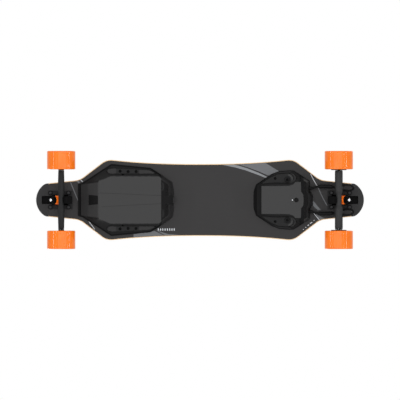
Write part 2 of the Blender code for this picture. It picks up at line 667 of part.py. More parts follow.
MOTOR_CABLE_ROUTE = [
    (-0.3110, 0.0340, 0.0745), (-0.3250, 0.0345, 0.0745), (-0.3420, 0.0390, 0.0740), (-0.3650, 0.0400, 0.0735),
    (-0.3870, 0.0385, 0.0730), (-0.4040, 0.0320, 0.0690), (-0.4210, 0.0275, 0.0620), (-0.4370, 0.0285, 0.0540),
    (-0.4440, 0.0350, 0.0480), (-0.4370, 0.0420, 0.0440), (-0.4260, 0.0440, 0.0420), (-0.4140, 0.0440, 0.0410),
]
POWER_LEAD_ROUTE = [
    (-0.1830, 0.0, 0.0800), (-0.1820, 0.0, 0.0880), (-0.1780, 0.0, 0.0945), (-0.1700, 0.0, 0.0960),
    (0.0, 0.0, 0.0960), (0.1180, 0.0, 0.0960), (0.1260, 0.0, 0.0945), (0.1300, 0.0, 0.0890), (0.1305, 0.0, 0.0835),
]


def make_leads():
    for side, label in ((1, "left"), (-1, "right")):
        route = [(x, side * y, z) for x, y, z in MOTOR_CABLE_ROUTE]
        cable(f"{label}_motor_cable", route, 0.0032, CABLE, 0.008)
    cable("power_lead", POWER_LEAD_ROUTE, 0.0018, CABLE, 0.020)


def make_all():
    outline = four_quarters(deck_quarter())
    x, _, z = RING_CENTRE
    trucks = [empty("front", (x, 0, z)), empty("rear", (-x, 0, z), math.pi)]
    deck = make_deck(outline, trucks)
    cut_lead_tunnel(deck)
    make_grip_tape(outline, trucks)
    make_guard("nose_guard", outline, 0)
    make_guard("tail_guard", outline, math.pi)
    hubs = {}
    for truck in trucks:
        steering = empty(f"{truck.name}_steering", (0, 0, 0), parent=truck)
        make_backing_plate(truck)
        make_baseplate(truck)
        make_truck_hardware(truck)
        make_hanger(truck, steering)
        sign = 1 if truck.name == "front" else -1
        hub = empty(f"{truck.name}_axle_line", (sign * (x + AXLE.x), 0, z + AXLE.z))
        hubs[truck.name] = (hub, steering)
    for side, label in ((1, "left"), (-1, "right")):
        make_front_wheel(f"front_{label}", hubs["front"][0], side)
        make_rear_wheel(f"rear_{label}", hubs["rear"][0], hubs["rear"][1], side)
    make_battery()
    make_charge_port()
    make_controller()
    make_leads()


for old in list(bpy.data.objects):
    bpy.data.objects.remove(old, do_unlink=True)
make_all()
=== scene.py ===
"""Looks of the electric skateboard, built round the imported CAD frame. Metres, +X to the nose, +Z up."""

import math

import bmesh
import bpy
import numpy as np
from mathutils import Matrix, Vector


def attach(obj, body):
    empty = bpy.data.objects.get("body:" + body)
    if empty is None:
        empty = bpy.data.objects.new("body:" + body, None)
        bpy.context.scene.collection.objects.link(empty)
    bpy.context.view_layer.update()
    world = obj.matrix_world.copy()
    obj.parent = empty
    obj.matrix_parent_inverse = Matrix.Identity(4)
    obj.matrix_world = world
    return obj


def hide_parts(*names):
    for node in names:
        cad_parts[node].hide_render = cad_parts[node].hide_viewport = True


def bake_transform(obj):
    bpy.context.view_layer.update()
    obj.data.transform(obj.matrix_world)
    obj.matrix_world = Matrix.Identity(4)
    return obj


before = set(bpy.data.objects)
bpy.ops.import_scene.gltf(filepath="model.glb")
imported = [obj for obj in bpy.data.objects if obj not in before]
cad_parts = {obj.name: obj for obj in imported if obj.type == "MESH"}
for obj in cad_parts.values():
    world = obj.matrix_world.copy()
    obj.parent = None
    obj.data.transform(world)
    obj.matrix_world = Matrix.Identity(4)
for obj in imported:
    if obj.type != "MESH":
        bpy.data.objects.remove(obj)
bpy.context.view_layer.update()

# Driving dimensions, the same as the CAD's
HALF_LENGTH = 0.475
DECK_BOTTOM, DECK_TOP = 0.090, 0.102
NOSE_RADIUS = 0.0556
NECK_CORNER = (0.4465, 0.0477, 0.012)
NECK_ROOT = (0.3485, 0.0580, 0.050)
SHOULDER = (0.2705, 0.1178, 0.055)
WAIST_HALF_WIDTH, WAIST_FLARE, WAIST_END = 0.104, 0.0122, 0.255
GUARD_SEAM, GUARD_WALL, GUARD_TOP = 0.4386, 0.0035, 0.1033
GUARD_POINTS, RIB_PITCH, RIB_DEPTH = 361, 5, 0.0007  # points along a guard's edge, points per rib, metres
SKIN_TOP = 0.0923  # the board's face over the guards' skin
THROUGH = (0.08, 0.12)  # heights on both sides of the board
SLOT_X, SLOT_HALF = (0.370, 0.458), 0.0115
BELLY_X, BELLY_HALF = (0.380, 0.432), 0.019
RING_CENTRE = Vector((0.407, 0.0, 0.0645))
TILT = math.radians(40)
OUT = Vector((math.cos(TILT), 0, -math.sin(TILT)))
STEER = Vector((math.sin(TILT), 0, math.cos(TILT)))
AXLE = Vector((-0.006, 0, -0.0235))
BAR_END = 0.0845
BOLT_X, BOLT_HALF_PITCH = (-0.0262, 0.0262), 0.0206
WHEEL_RADIUS, WHEEL_INNER, WHEEL_WIDTH = 0.0410, 0.0883, 0.0535
COVER_TOP = DECK_BOTTOM - 0.0003
AXLE_X, AXLE_Z = RING_CENTRE.x + AXLE.x, RING_CENTRE.z + AXLE.z
SIDES = ((1, "left"), (-1, "right"))
ENDS = ((1, "front"), (-1, "rear"))


# ---------------------------------------------------------------- materials

class Nodes:
    """A material's node tree with short calls for the few nodes used here."""

    def __init__(self, name):
        self.material = bpy.data.materials.new(name)
        self.material.use_nodes = True
        self.tree = self.material.node_tree
        self.shader = self.tree.nodes["Principled BSDF"]
        self.place = self.tree.nodes.new("ShaderNodeTexCoord").outputs["Object"]

    def link(self, source, target):
        self.tree.links.new(source, target)

    def node(self, kind, output, **inputs):
        """Adds a node, sets its numbers and links its sources. Returns one of its outputs."""
        made = self.tree.nodes.new("ShaderNode" + kind)
        for key, value in inputs.items():
            socket = made.inputs[key.replace("_", " ")]
            if isinstance(value, bpy.types.NodeSocket):
                self.link(value, socket)
            else:
                socket.default_value = value
        return made.outputs[output]

    def stretched(self, scale):
        return self.node("Mapping", "Vector", Scale=scale, Vector=self.place)

    def noise(self, scale, detail, vector=None):
        where = vector or self.place
        return self.node("TexNoise", "Fac", Scale=scale, Detail=detail, Roughness=0.55, Vector=where)

    def spread(self, value, low, high, start=0.3, stop=0.7):
        """Maps a texture's useful range to low..high."""
        ends = {"From_Min": start, "From_Max": stop, "To_Min": low, "To_Max": high}
        return self.node("MapRange", "Result", **ends, Value=value)

    def blend(self, value, one, two):
        """Colour one to colour two as the value goes from 0 to 1."""
        node = self.tree.nodes.new("ShaderNodeMix")
        node.data_type = "RGBA"
        self.link(value, node.inputs["Factor"])
        for socket, colour in ((node.inputs["A"], one), (node.inputs["B"], two)):
            if isinstance(colour, tuple):
                socket.default_value = (*colour, 1)
            else:
                self.link(colour, socket)
        return node.outputs["Result"]

    def add(self, one, two, share=1.0):
        """One, plus a share of two."""
        node = self.tree.nodes.new("ShaderNodeMath")
        node.operation = "MULTIPLY_ADD"
        node.inputs[1].default_value = share
        self.link(two, node.inputs[0])
        self.link(one, node.inputs[2])
        return node.outputs["Value"]

    def colour(self, source):
        self.link(source, self.shader.inputs["Base Color"])

    def roughness(self, source):
        self.link(source, self.shader.inputs["Roughness"])

    def bump(self, height, depth):
        self.link(self.node("Bump", "Normal", Distance=depth, Height=height), self.shader.inputs["Normal"])

    def set(self, **values):
        for key, value in values.items():
            self.shader.inputs[key.replace("_", " ")].default_value = value


def surface(name, dark, light, rough, grain, depth, gloss=0.5, metallic=0.0, stretch=None):
    """A worked surface: fine grain, broad patches, and roughness that follows both."""
    n = Nodes(name)
    fine = n.noise(grain, 5.0, n.stretched(stretch) if stretch else n.place)
    broad = n.noise(9.0, 3.0)
    both = n.add(n.spread(broad, 0.0, 0.6), n.spread(fine, 0.0, 0.4))
    n.colour(n.blend(both, dark, light))
    n.roughness(n.spread(both, *rough, 0.1, 0.9))
    n.bump(fine, depth)
    n.set(Metallic=metallic, Specular_IOR_Level=gloss)
    return n.material


def grit_surface():
    """Abrasive tape: dark grains with small bright facets."""
    n = Nodes("grip_grit")
    grains = n.node("TexVoronoi", "Distance", Scale=900.0, Vector=n.place)
    coarse = n.noise(420.0, 6.0)
    worn = n.noise(7.0, 3.0)
    tone = n.add(n.spread(coarse, 0.0, 0.7), n.spread(worn, 0.0, 0.3))
    n.colour(n.blend(tone, (0.010, 0.010, 0.011), (0.050, 0.050, 0.052)))
    n.roughness(n.spread(coarse, 0.75, 1.0))
    n.bump(n.add(grains, coarse, 0.8), 0.0009)
    n.set(Specular_IOR_Level=0.35)
    return n.material


def ply_surface():
    """The deck's edge: thin pale and darker veneers, one over the other."""
    n = Nodes("ply_edge")
    wave = n.node("TexWave", "Fac", Scale=130.0, Distortion=0.6, Detail_Scale=2.0, Vector=n.place)
    wave.node.bands_direction = "Z"
    fibre = n.noise(500.0, 5.0, n.stretched((0.05, 0.05, 1.0)))
    layers = n.blend(wave, (0.42, 0.27, 0.13), (0.58, 0.42, 0.24))
    n.colour(n.blend(n.spread(fibre, 0.0, 0.35), layers, (0.28, 0.16, 0.07)))
    n.roughness(n.spread(fibre, 0.45, 0.65))
    n.bump(fibre, 0.0001)
    return n.material


def urethane_surface(name, dark, light):
    """Cast urethane: deep even colour with a soft skin and a faint fine bump."""
    n = Nodes(name)
    cloud = n.noise(35.0, 4.0)
    skin = n.noise(900.0, 3.0)
    n.colour(n.blend(n.spread(cloud, 0.0, 1.0), dark, light))
    n.roughness(n.spread(cloud, 0.07, 0.12))
    n.bump(n.add(skin, cloud, 0.5), 0.000008)
    n.set(Specular_IOR_Level=0.18, Subsurface_Weight=0.10, Subsurface_Scale=0.003)
    n.set(Subsurface_Radius=(1.0, 0.35, 0.1))
    return n.material


SURFACES = {
    # key: name, dark colour, light colour, roughness range, grain, bump depth, gloss, metallic, stretch
    "deck": ("deck_underside", (0.0108, 0.0103, 0.0106), (0.0152, 0.0146, 0.0149), (0.50, 0.62), 260.0,
             0.00005, 0.13, 0.0, (0.12, 1.0, 1.0)),
    "guard": ("guard_rubber", (0.0100, 0.0100, 0.0103), (0.0150, 0.0150, 0.0154), (0.55, 0.72), 700.0,
              0.0001, 0.12),
    "cover": ("cover_texture", (0.0120, 0.0120, 0.0122), (0.0158, 0.0158, 0.0160), (0.42, 0.55), 1500.0,
              0.00004, 0.15),
    # Painted shading: a darker copy of the cover colour for the covers' flanks, also used on the caps' steep
    # walls.
    "slope": ("cover_slope_painted_shading", (0.0078, 0.0076, 0.0078), (0.0110, 0.0107, 0.0110), (0.44, 0.58), 1400.0,
              0.00004, 0.12),
    # Painted shade in the covers' hollows and steep walls, and painted shading on the caps' walls; also the
    # backing plates' own dark tone.
    "recess": ("cover_recess_painted_shading_and_plate", (0.0046, 0.0046, 0.0048), (0.0070, 0.0070, 0.0072), (0.46, 0.60), 1300.0,
               0.00004, 0.08),
    "gloss": ("gloss_black", (0.0018, 0.0018, 0.0019), (0.0032, 0.0031, 0.0032), (0.20, 0.34), 240.0,
              0.00002, 0.035),
    "front_cast": ("front_powder_coat", (0.0040, 0.0040, 0.0042), (0.0078, 0.0078, 0.0081), (0.40, 0.55),
                   1100.0, 0.00006, 0.09),
    "rear_cast": ("rear_powder_coat", (0.0070, 0.0070, 0.0072), (0.0125, 0.0125, 0.0128), (0.40, 0.55),
                  1100.0, 0.00006, 0.13),
    # A black casting, darkened further as painted shade where it sits between hanger and deck; also the own
    # black of small screws, nuts and stator covers.
    "plate": ("baseplate_black_and_painted_shade", (0.0008, 0.0008, 0.0009), (0.0020, 0.0020, 0.0021), (0.45, 0.60), 1100.0,
              0.00006, 0.03),
    "black_steel": ("black_oxide", (0.005, 0.005, 0.0054), (0.013, 0.013, 0.014), (0.34, 0.50), 800.0,
                    0.00003, 0.20, 0.3),
    "steel": ("turned_steel", (0.55, 0.55, 0.57), (0.78, 0.78, 0.80), (0.18, 0.34), 900.0, 0.00002, 0.5, 1.0),
    "cable": ("cable_jacket", (0.0012, 0.0012, 0.0013), (0.0030, 0.0030, 0.0032), (0.45, 0.62), 600.0,
              0.00004, 0.06),
    "silver": ("silver_graphic", (0.052, 0.054, 0.058), (0.071, 0.074, 0.079), (0.40, 0.55), 1400.0,
               0.00002, 0.18),
    "bright": ("bright_graphic", (0.090, 0.094, 0.100), (0.120, 0.125, 0.132), (0.40, 0.55), 1400.0,
               0.00002, 0.22),
    "pale": ("pale_graphic", (0.24, 0.25, 0.265), (0.34, 0.35, 0.37), (0.40, 0.55), 900.0, 0.00002),
    # Black: painted shade in the covers' rim bands, front walls and sill, and the own colour of the release
    # pad and bolt washers.
    "seam": ("black_and_painted_shade", (0.0018, 0.0018, 0.0019), (0.0034, 0.0034, 0.0036), (0.60, 0.75), 900.0,
             0.00002, 0.05),
    "lens": ("lamp_lens", (0.30, 0.31, 0.33), (0.42, 0.43, 0.45), (0.08, 0.15), 300.0, 0.00002),
    "wrap": ("cell_wrap", (0.02, 0.06, 0.18), (0.04, 0.10, 0.26), (0.3, 0.45), 300.0, 0.00003),
    "circuit": ("circuit_board", (0.008, 0.06, 0.02), (0.02, 0.12, 0.05), (0.25, 0.40), 500.0, 0.00005),
}


def make_materials():
    looks = {key: surface(*row) for key, row in SURFACES.items()}
    looks["ply"] = ply_surface()
    looks["grip"] = grit_surface()
    looks["orange"] = urethane_surface("wheel_urethane", (0.460, 0.091, 0.003), (0.500, 0.105, 0.006))
    looks["bushing"] = urethane_surface("bushing_urethane", (0.62, 0.10, 0.004), (0.72, 0.14, 0.008))
    return looks


LOOKS = make_materials()


# ---------------------------------------------------------------- mesh tools

def loft(rings, closed=False):
    """Quads between rings of equal point counts. An open run gets an end cap on each end."""
    out = bmesh.new()
    made = [[out.verts.new(point) for point in ring] for ring in rings]
    pairs = list(zip(made, made[1:]))
    if closed:
        pairs.append((made[-1], made[0]))
    else:
        out.faces.new(made[0])
        out.faces.new(made[-1])
    for one, two in pairs:
        for i in range(len(one)):
            j = (i + 1) % len(one)
            out.faces.new((one[i], one[j], two[j], two[i]))
    return out


def turned(stations, facets=64, closed=False):
    """Turned about Z from (radius, height) stations: a solid with flat ends, or a ring when closed."""
    rings = []
    for k in range(facets):
        angle = (k + 0.5) * math.tau / facets
        turn = (math.cos(angle), math.sin(angle))
        rings.append([(r * turn[0], r * turn[1], h) for r, h in stations])
    if closed:
        return loft(rings, closed=True)
    return loft([[ring[i] for ring in rings] for i in range(len(stations))])


def rounded_profile(corners, radius, steps):
    """A closed (radius, height) section with each of its corners rounded."""
    out = []
    count = len(corners)
    for i, corner in enumerate(corners):
        here = Vector(corner)
        before = Vector(corners[i - 1]) - here
        after = Vector(corners[(i + 1) % count]) - here
        reach = min(radius, before.length * 0.45, after.length * 0.45)
        start, end = here + before.normalized() * reach, here + after.normalized() * reach
        for k in range(steps + 1):
            t = k / steps
            out.append(tuple((1 - t) ** 2 * start + 2 * t * (1 - t) * here + t * t * end))
    return out


def soft_ring(corners, radius, steps, facets=40):
    """A ring turned about Z from a closed section with rounded corners."""
    return turned(rounded_profile(corners, radius, steps), facets, closed=True)


def rod(radius, low, high, facets=40):
    return turned([(radius, low), (radius, high)], facets)


def prism(outline, low, high):
    return loft([[(x, y, z) for x, y in outline] for z in (low, high)])


def edge_stack(low, high, edge, steps):
    """(inset, height) rings of a slab whose top and bottom edges are rounded."""
    rings = []
    for k in range(steps + 1):
        angle = k / steps * math.pi / 2
        rings.append((edge * (1 - math.sin(angle)), low + edge * (1 - math.cos(angle))))
    return rings + [(inward, low + high - z) for inward, z in reversed(rings)]


def soft_prism(outline, low, high, edge, steps):
    """A prism whose top and bottom edges are rounded inwards."""
    stack = edge_stack(low, high, edge, steps)
    return loft([[(x, y, z) for x, y in inset(outline, inward)] for inward, z in stack])


def side_prism(outline, half_width):
    return loft([[(x, y, z) for x, z in outline] for y in (-half_width, half_width)])


def inset(outline, distance):
    """The outline moved inwards, for an outline that runs anticlockwise."""
    if distance == 0:
        return list(outline)
    out = []
    count = len(outline)
    for i, here in enumerate(outline):
        edge = (Vector(outline[(i + 1) % count]) - Vector(outline[i - 1])).normalized()
        out.append((here[0] - edge.y * distance, here[1] + edge.x * distance))
    return out


def at(x, y, z=0.0):
    return Matrix.Translation((x, y, z))


def along(direction, start=(0, 0, 0)):
    """The place of a part whose Z runs in a direction from a start."""
    return Matrix.Translation(start) @ Vector(direction).to_track_quat("Z", "X").to_matrix().to_4x4()


def sideways(side, centre):
    """The place of a part whose Z runs outwards on one side of the board."""
    return Matrix.Translation(centre) @ Matrix.Rotation(-side * math.pi / 2, 4, "X")


def moved(maker, matrix):
    maker.transform(matrix)
    return maker


def joined(parts):
    """Several bmeshes as one."""
    out = bmesh.new()
    for part in parts:
        mesh = bpy.data.meshes.new("part")
        part.to_mesh(mesh)
        part.free()
        out.from_mesh(mesh)
        bpy.data.meshes.remove(mesh)
    return out


def new_object(name, maker, matrix=None):
    """A mesh object whose place is in its vertices."""
    if matrix is not None:
        maker.transform(matrix)
    bmesh.ops.recalc_face_normals(maker, faces=maker.faces)
    mesh = bpy.data.meshes.new(name)
    maker.to_mesh(mesh)
    maker.free()
    made = bpy.data.objects.new(name, mesh)
    bpy.context.collection.objects.link(made)
    return made


def bake(target):
    """Applies an object's modifiers."""
    graph = bpy.context.evaluated_depsgraph_get()
    old = target.data
    target.data = bpy.data.meshes.new_from_object(target.evaluated_get(graph))
    target.modifiers.clear()
    bpy.data.meshes.remove(old)


def carve(target, makers, operation="DIFFERENCE"):
    """Boolean with each of some closed bmeshes, applied."""
    helpers = []
    for maker in makers:
        helper = new_object("cutter", maker)
        modifier = target.modifiers.new("cut", "BOOLEAN")
        modifier.object = helper
        modifier.operation = operation
        modifier.solver = "EXACT"
        helpers.append(helper)
    bake(target)
    for helper in helpers:
        bpy.data.objects.remove(helper, do_unlink=True)


def finish_piece(made, look, body, replaced=None, angle=35):
    """Smooth shading, the look or looks, the body it rides on, and what it stands for."""
    made.data.materials.clear()
    for key in (look,) if isinstance(look, str) else look:
        made.data.materials.append(LOOKS[key])
    made.data.shade_smooth()
    made.data.set_sharp_from_angle(angle=math.radians(angle))
    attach(made, body)
    if replaced:
        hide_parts(replaced)


def piece(name, maker, look, body, replaced=None, matrix=None, angle=35):
    finish_piece(new_object(name, maker, matrix), look, body, replaced, angle)


# ---------------------------------------------------------------- outlines

def fillet(before, corner, after, radius, steps):
    """Points of an arc that rounds one corner."""
    corner = Vector(corner)
    one = (Vector(before) - corner).normalized()
    two = (Vector(after) - corner).normalized()
    half = one.angle(two) / 2
    centre = corner + (one + two).normalized() * radius / math.sin(half)
    start = (corner + one * radius / math.tan(half) - centre).normalized()
    end = (corner + two * radius / math.tan(half) - centre).normalized()
    return [tuple(centre + start.slerp(end, k / steps) * radius) for k in range(steps + 1)]


def rounded(corners):
    """A closed outline from (x, y, radius) corners."""
    out = []
    count = len(corners)
    for i, (x, y, radius) in enumerate(corners):
        if radius <= 0:
            out.append((x, y))
            continue
        before, after = corners[i - 1][:2], corners[(i + 1) % count][:2]
        out += fillet(before, (x, y), after, radius, 6)
    return out


def neck_half_width(x):
    share = (x - NECK_ROOT[0]) / (NECK_CORNER[0] - NECK_ROOT[0])
    return NECK_ROOT[1] + share * (NECK_CORNER[1] - NECK_ROOT[1])


def deck_quarter():
    """The deck's edge from the nose tip to the waist, in the +X +Y quarter."""
    nose_centre = HALF_LENGTH - NOSE_RADIUS
    nose = []
    for degrees in range(0, 55, 3):
        angle = math.radians(degrees)
        nose.append((nose_centre + NOSE_RADIUS * math.cos(angle), NOSE_RADIUS * math.sin(angle)))
    waist = []
    for x in np.linspace(0.225, 0.0, 19).tolist():
        waist.append((x, WAIST_HALF_WIDTH + WAIST_FLARE * (x / WAIST_END) ** 2.2))
    points = nose + fillet(nose[-1], NECK_CORNER[:2], NECK_ROOT[:2], NECK_CORNER[2] * 0.7, 5)
    neck_start, neck_end = points[-1][0] - 0.01, 0.365
    points += [(x, neck_half_width(x)) for x in np.linspace(neck_start, neck_end, 7).tolist()]
    points += fillet(NECK_CORNER[:2], NECK_ROOT[:2], SHOULDER[:2], NECK_ROOT[2], 10)
    points += fillet(NECK_ROOT[:2], SHOULDER[:2], waist[0], SHOULDER[2] * 0.8, 14)
    return points + waist


def four_quarters(quarter):
    left = quarter + [(-x, y) for x, y in reversed(quarter[:-1])]
    return left + [(x, -y) for x, y in reversed(left[1:-1])]


OUTLINE = four_quarters(deck_quarter())


def slot_outline(clearance=0.0):
    narrow, wide = SLOT_HALF + clearance, BELLY_HALF + clearance
    low, high = SLOT_X[0] - clearance, SLOT_X[1] + clearance
    belly = (BELLY_X[0] - clearance, BELLY_X[1] + clearance)
    r = 0.0025
    upper = [(high, narrow, r), (belly[1] + 0.004, narrow, 0), (belly[1], wide, r), (belly[0], wide, r)]
    upper += [(belly[0] - 0.004, narrow, 0), (low, narrow, r)]
    return rounded([(x, -y, radius) for x, y, radius in reversed(upper)] + upper)


def turned_about(outline, end):
    """The outline as it lies at the nose (1) or at the tail (-1)."""
    return [(end * x, end * y) for x, y in outline]


# ---------------------------------------------------------------- deck

def tip_outline(distance, seam):
    """The nose's edge beyond a seam, set inwards by a distance."""
    wide = neck_half_width(seam) - distance
    tip = [p for p in inset(OUTLINE, distance) if p[0] > seam + 0.001]
    return [p for p in tip if p[1] < 0] + [p for p in tip if p[1] >= 0] + [(seam, wide), (seam, -wide)]


def deck_outline(extra):
    """The board's own edge: set back under the guards at both tips, with extra inset."""
    tip = inset(OUTLINE, GUARD_WALL + extra)
    whole = inset(OUTLINE, extra)
    wide = neck_half_width(GUARD_SEAM) - extra
    quarter = [p for p in tip if p[0] > GUARD_SEAM + 0.002 and p[1] >= 0]
    quarter += [(GUARD_SEAM - 0.0002, wide - GUARD_WALL), (GUARD_SEAM - 0.0004, wide)]
    quarter += [p for p in whole if -1e-9 <= p[0] < GUARD_SEAM - 0.002 and p[1] > 0]
    return four_quarters(quarter)


def make_deck():
    rings = []
    for inward, z in edge_stack(DECK_BOTTOM, DECK_TOP, 0.0028, 5):
        rings.append([(x, y, z) for x, y in deck_outline(inward)])
    deck = new_object("board", loft(rings))
    beyond = HALF_LENGTH + 0.01
    recess = [(GUARD_SEAM, -0.06), (beyond, -0.06), (beyond, 0.06), (GUARD_SEAM, 0.06)]
    cutters = []
    for end in (1, -1):
        cutters.append(prism(turned_about(slot_outline(), end), *THROUGH))
        cutters.append(prism(turned_about(recess, end), THROUGH[0], SKIN_TOP))
    carve(deck, cutters)
    finish_piece(deck, ("deck", "ply"), "root", "deck")
    for face in deck.data.polygons:
        c, upright = face.center, math.hypot(face.normal.x, face.normal.y) > 0.3
        rim = min(abs(c.z - DECK_BOTTOM), abs(c.z - DECK_TOP)) > 0.00010
        slot_wall = abs(c.x) > SLOT_X[0] - 0.002 and abs(c.y) < BELLY_HALF + 0.004
        if upright and rim and not slot_wall:
            face.material_index = 1


def resampled(path, count):
    """An open path's points at even steps, with the outward direction at each."""
    points = np.array(path)
    travelled = np.concatenate([[0], np.cumsum(np.hypot(*np.diff(points, axis=0).T))])
    at = np.linspace(0, travelled[-1], count)
    even = np.stack([np.interp(at, travelled, points[:, k]) for k in (0, 1)], axis=1)
    ahead = np.gradient(even, axis=0)
    ahead /= np.hypot(ahead[:, 0], ahead[:, 1])[:, None]
    return even, np.stack([ahead[:, 1], -ahead[:, 0]], axis=1)


def make_guard(name, end):
    """A ribbed rubber cap: skin under the board, wall round the edge, slot for the truck."""
    outer = tip_outline(0.0, GUARD_SEAM + 0.0003)
    even, outward = resampled([outer[-1]] + outer[:-1], GUARD_POINTS)
    groove = RIB_DEPTH / 2 * (1 - np.cos(np.arange(GUARD_POINTS) * math.tau / RIB_PITCH))
    rings = []
    for inward, z in edge_stack(DECK_BOTTOM, GUARD_TOP, 0.0012, 3):
        edge = even - outward * (groove + inward)[:, None]
        rings.append([(end * x, end * y, z) for x, y in edge.tolist()])
    guard = new_object(name, loft(rings))
    room = tip_outline(GUARD_WALL - 0.0003, GUARD_SEAM - 0.004)
    cutters = [prism(turned_about(room, end), SKIN_TOP - 0.0003, THROUGH[1])]
    cutters.append(prism(turned_about(slot_outline(0.0006), end), *THROUGH))
    carve(guard, cutters)
    finish_piece(guard, "guard", "root", "nose_guard" if end > 0 else "tail_guard")


def make_grip():
    sheet = soft_prism(inset(OUTLINE, 0.006), DECK_TOP + 0.0002, GUARD_TOP, 0.0003, 2)
    grip = new_object("grip_sheet", sheet)
    cutters = []
    for end in (1, -1):
        window = [(x + RING_CENTRE.x, y) for x, y in flange_outline(0.001, 0.003)]
        cutters.append(prism(turned_about(window, end), DECK_BOTTOM, THROUGH[1]))
    carve(grip, cutters)
    finish_piece(grip, "grip", "root", "grip_tape")


# ---------------------------------------------------------------- graphics

def decal(name, corners, look):
    """A thin film on the underside, trimmed to the board's flat."""
    outline = list(corners)
    area = sum(a[0] * b[1] - b[0] * a[1] for a, b in zip(outline, outline[1:] + outline[:1]))
    if area < 0:
        outline.reverse()
    film = new_object(name, prism(outline, DECK_BOTTOM - 0.00015, DECK_BOTTOM + 0.0001))
    carve(film, [prism(inset(OUTLINE, 0.0029), *THROUGH)], "INTERSECT")
    finish_piece(film, look, "root")


def ribbon(name, start, end, width, look, bow=0.0):
    """A straight or slightly bowed stripe of even width."""
    start, end = Vector(start), Vector(end)
    across = Vector((-(end - start).y, (end - start).x)).normalized()
    left, right = [], []
    for k in range(13):
        t = k / 12
        middle = start.lerp(end, t) + across * bow * 4 * t * (1 - t)
        left.append(tuple(middle + across * width / 2))
        right.append(tuple(middle - across * width / 2))
    decal(name, left + right[::-1], look)


def make_graphics():
    decal("graphic_sweep_wide", [
        (-0.0950, 0.1150), (-0.1690, 0.1200), (-0.2300, 0.0825), (-0.2050, 0.0700), (-0.1960, 0.0715),
        (-0.1700, 0.0830), (-0.1400, 0.0940), (-0.1180, 0.1010), (-0.1010, 0.1042),
    ], "silver")
    decal("graphic_sweep_thin", [
        (-0.0640, 0.1062), (-0.0900, 0.1050), (-0.1150, 0.0985), (-0.1400, 0.0905), (-0.1680, 0.0795),
        (-0.1940, 0.0675), (-0.1900, 0.0640), (-0.1650, 0.0740), (-0.1330, 0.0857), (-0.1050, 0.0935),
        (-0.0640, 0.1020),
    ], "bright")
    decal("graphic_low_front", [
        (0.1925, -0.1120), (0.1925, -0.0990), (0.1315, -0.0895), (0.1010, -0.1045), (0.1010, -0.1100),
    ], "silver")
    decal("graphic_low_tip", [
        (0.1270, -0.0880), (0.0925, -0.0985), (0.0420, -0.1025), (0.0420, -0.1065), (0.0980, -0.1040),
    ], "silver")
    ribbon("graphic_line_nose", (0.3760, 0.0540), (0.3535, -0.0010), 0.0023, "silver")
    ribbon("graphic_line_side", (0.3240, -0.0590), (0.3050, -0.0850), 0.0016, "pale")
    ribbon("graphic_line_tail", (-0.3200, 0.0760), (-0.3400, 0.0400), 0.0016, "pale", bow=0.0008)
    ribbon("graphic_line_rear", (-0.3422, 0.0355), (-0.3680, -0.0160), 0.0025, "silver", bow=0.0010)
    ribbon("graphic_tick_a", (0.3560, 0.0560), (0.3490, 0.0500), 0.0050, "silver")
    ribbon("graphic_tick_b", (0.3470, 0.0590), (0.3400, 0.0530), 0.0018, "pale")
    decal("graphic_tail_wedge", [
        (-0.3275, -0.0020), (-0.3500, -0.0290), (-0.3420, -0.0300), (-0.3275, -0.0170),
    ], "silver")
    decal("graphic_tail_low", [
        (-0.3320, -0.0390), (-0.3660, -0.0560), (-0.3660, -0.0600), (-0.3500, -0.0600),
    ], "silver")
    ribbon("graphic_tail_line", (-0.3250, -0.0330), (-0.3480, -0.0610), 0.0016, "pale")
    start, run = Vector((-0.2985, -0.0860)), Vector((-0.753, 0.640)).normalized()
    dashes = [(0.0, 0.0028), (0.0088, 0.0024), (0.0175, 0.0045), (0.0265, 0.0080), (0.0405, 0.0026)]
    for number, (offset, length) in enumerate(dashes, 1):
        one = start + run * offset
        ribbon(f"graphic_dash_{number}", one, one + run * length, 0.0021, "pale")
    for number in range(8):
        x = 0.1208 - 0.0066 * number
        ribbon(f"graphic_bar_{number + 1}", (x, -0.0824), (x, -0.0886), 0.0026, "pale")


# ---------------------------------------------------------------- height functions

WALL = 0.0026
BOSS_RISE, BOSS_RADIUS = 0.0038, 0.0075
GATHER = 0.92  # how much closer a shell's rows stand towards its walls


def signed_distance(x, y, corners):
    """Distance to a closed outline, positive inside, for arrays of points."""
    best = np.full(x.shape, 1e9)
    inside = np.zeros(x.shape, bool)
    for (x1, y1), (x2, y2) in zip(corners, corners[1:] + corners[:1]):
        best = np.minimum(best, line_distance(x, y, (x1, y1), (x2, y2)))
        inside ^= ((y1 > y) != (y2 > y)) & (x < (x2 - x1) * (y - y1) / (y2 - y1 + 1e-15) + x1)
    return np.where(inside, best, -best)


def line_distance(x, y, one, two):
    dx, dy = two[0] - one[0], two[1] - one[1]
    t = np.clip(((x - one[0]) * dx + (y - one[1]) * dy) / (dx * dx + dy * dy + 1e-15), 0, 1)
    return np.hypot(x - one[0] - t * dx, y - one[1] - t * dy)


def both_sides(half):
    return half + [(x, -y) for x, y in reversed(half)]


def rim_distance(x, y, half):
    """Distance inwards from a cover's rim."""
    return np.maximum(signed_distance(x, y, both_sides(half)), 0)


def step(value, width):
    """0 to 1 through zero over a width, with soft ends."""
    t = np.clip(value / width + 0.5, 0, 1)
    return t * t * (3 - 2 * t)


def ridge(distance, height, width):
    return height * np.exp(-((distance / width) ** 2))


def toward(z, target, share):
    return z + (target - z) * share


def flanks(x, y, half, crown, top, reach, power):
    """A flat crown whose flanks run down to the cover's rim."""
    off = np.maximum(-signed_distance(x, y, both_sides(crown)), 0)
    share = off / (off + rim_distance(x, y, half) + 1e-9)
    return top + (SKIRT_Z - top) * np.clip(share * reach, 0, 1) ** power


def quads(rows, out, inner=False):
    """Faces over a grid of vertices."""
    for one, two in zip(rows, rows[1:]):
        for a, b, c, d in zip(one, two, two[1:], one[1:]):
            out.faces.new((a, d, c, b) if inner else (a, b, c, d))


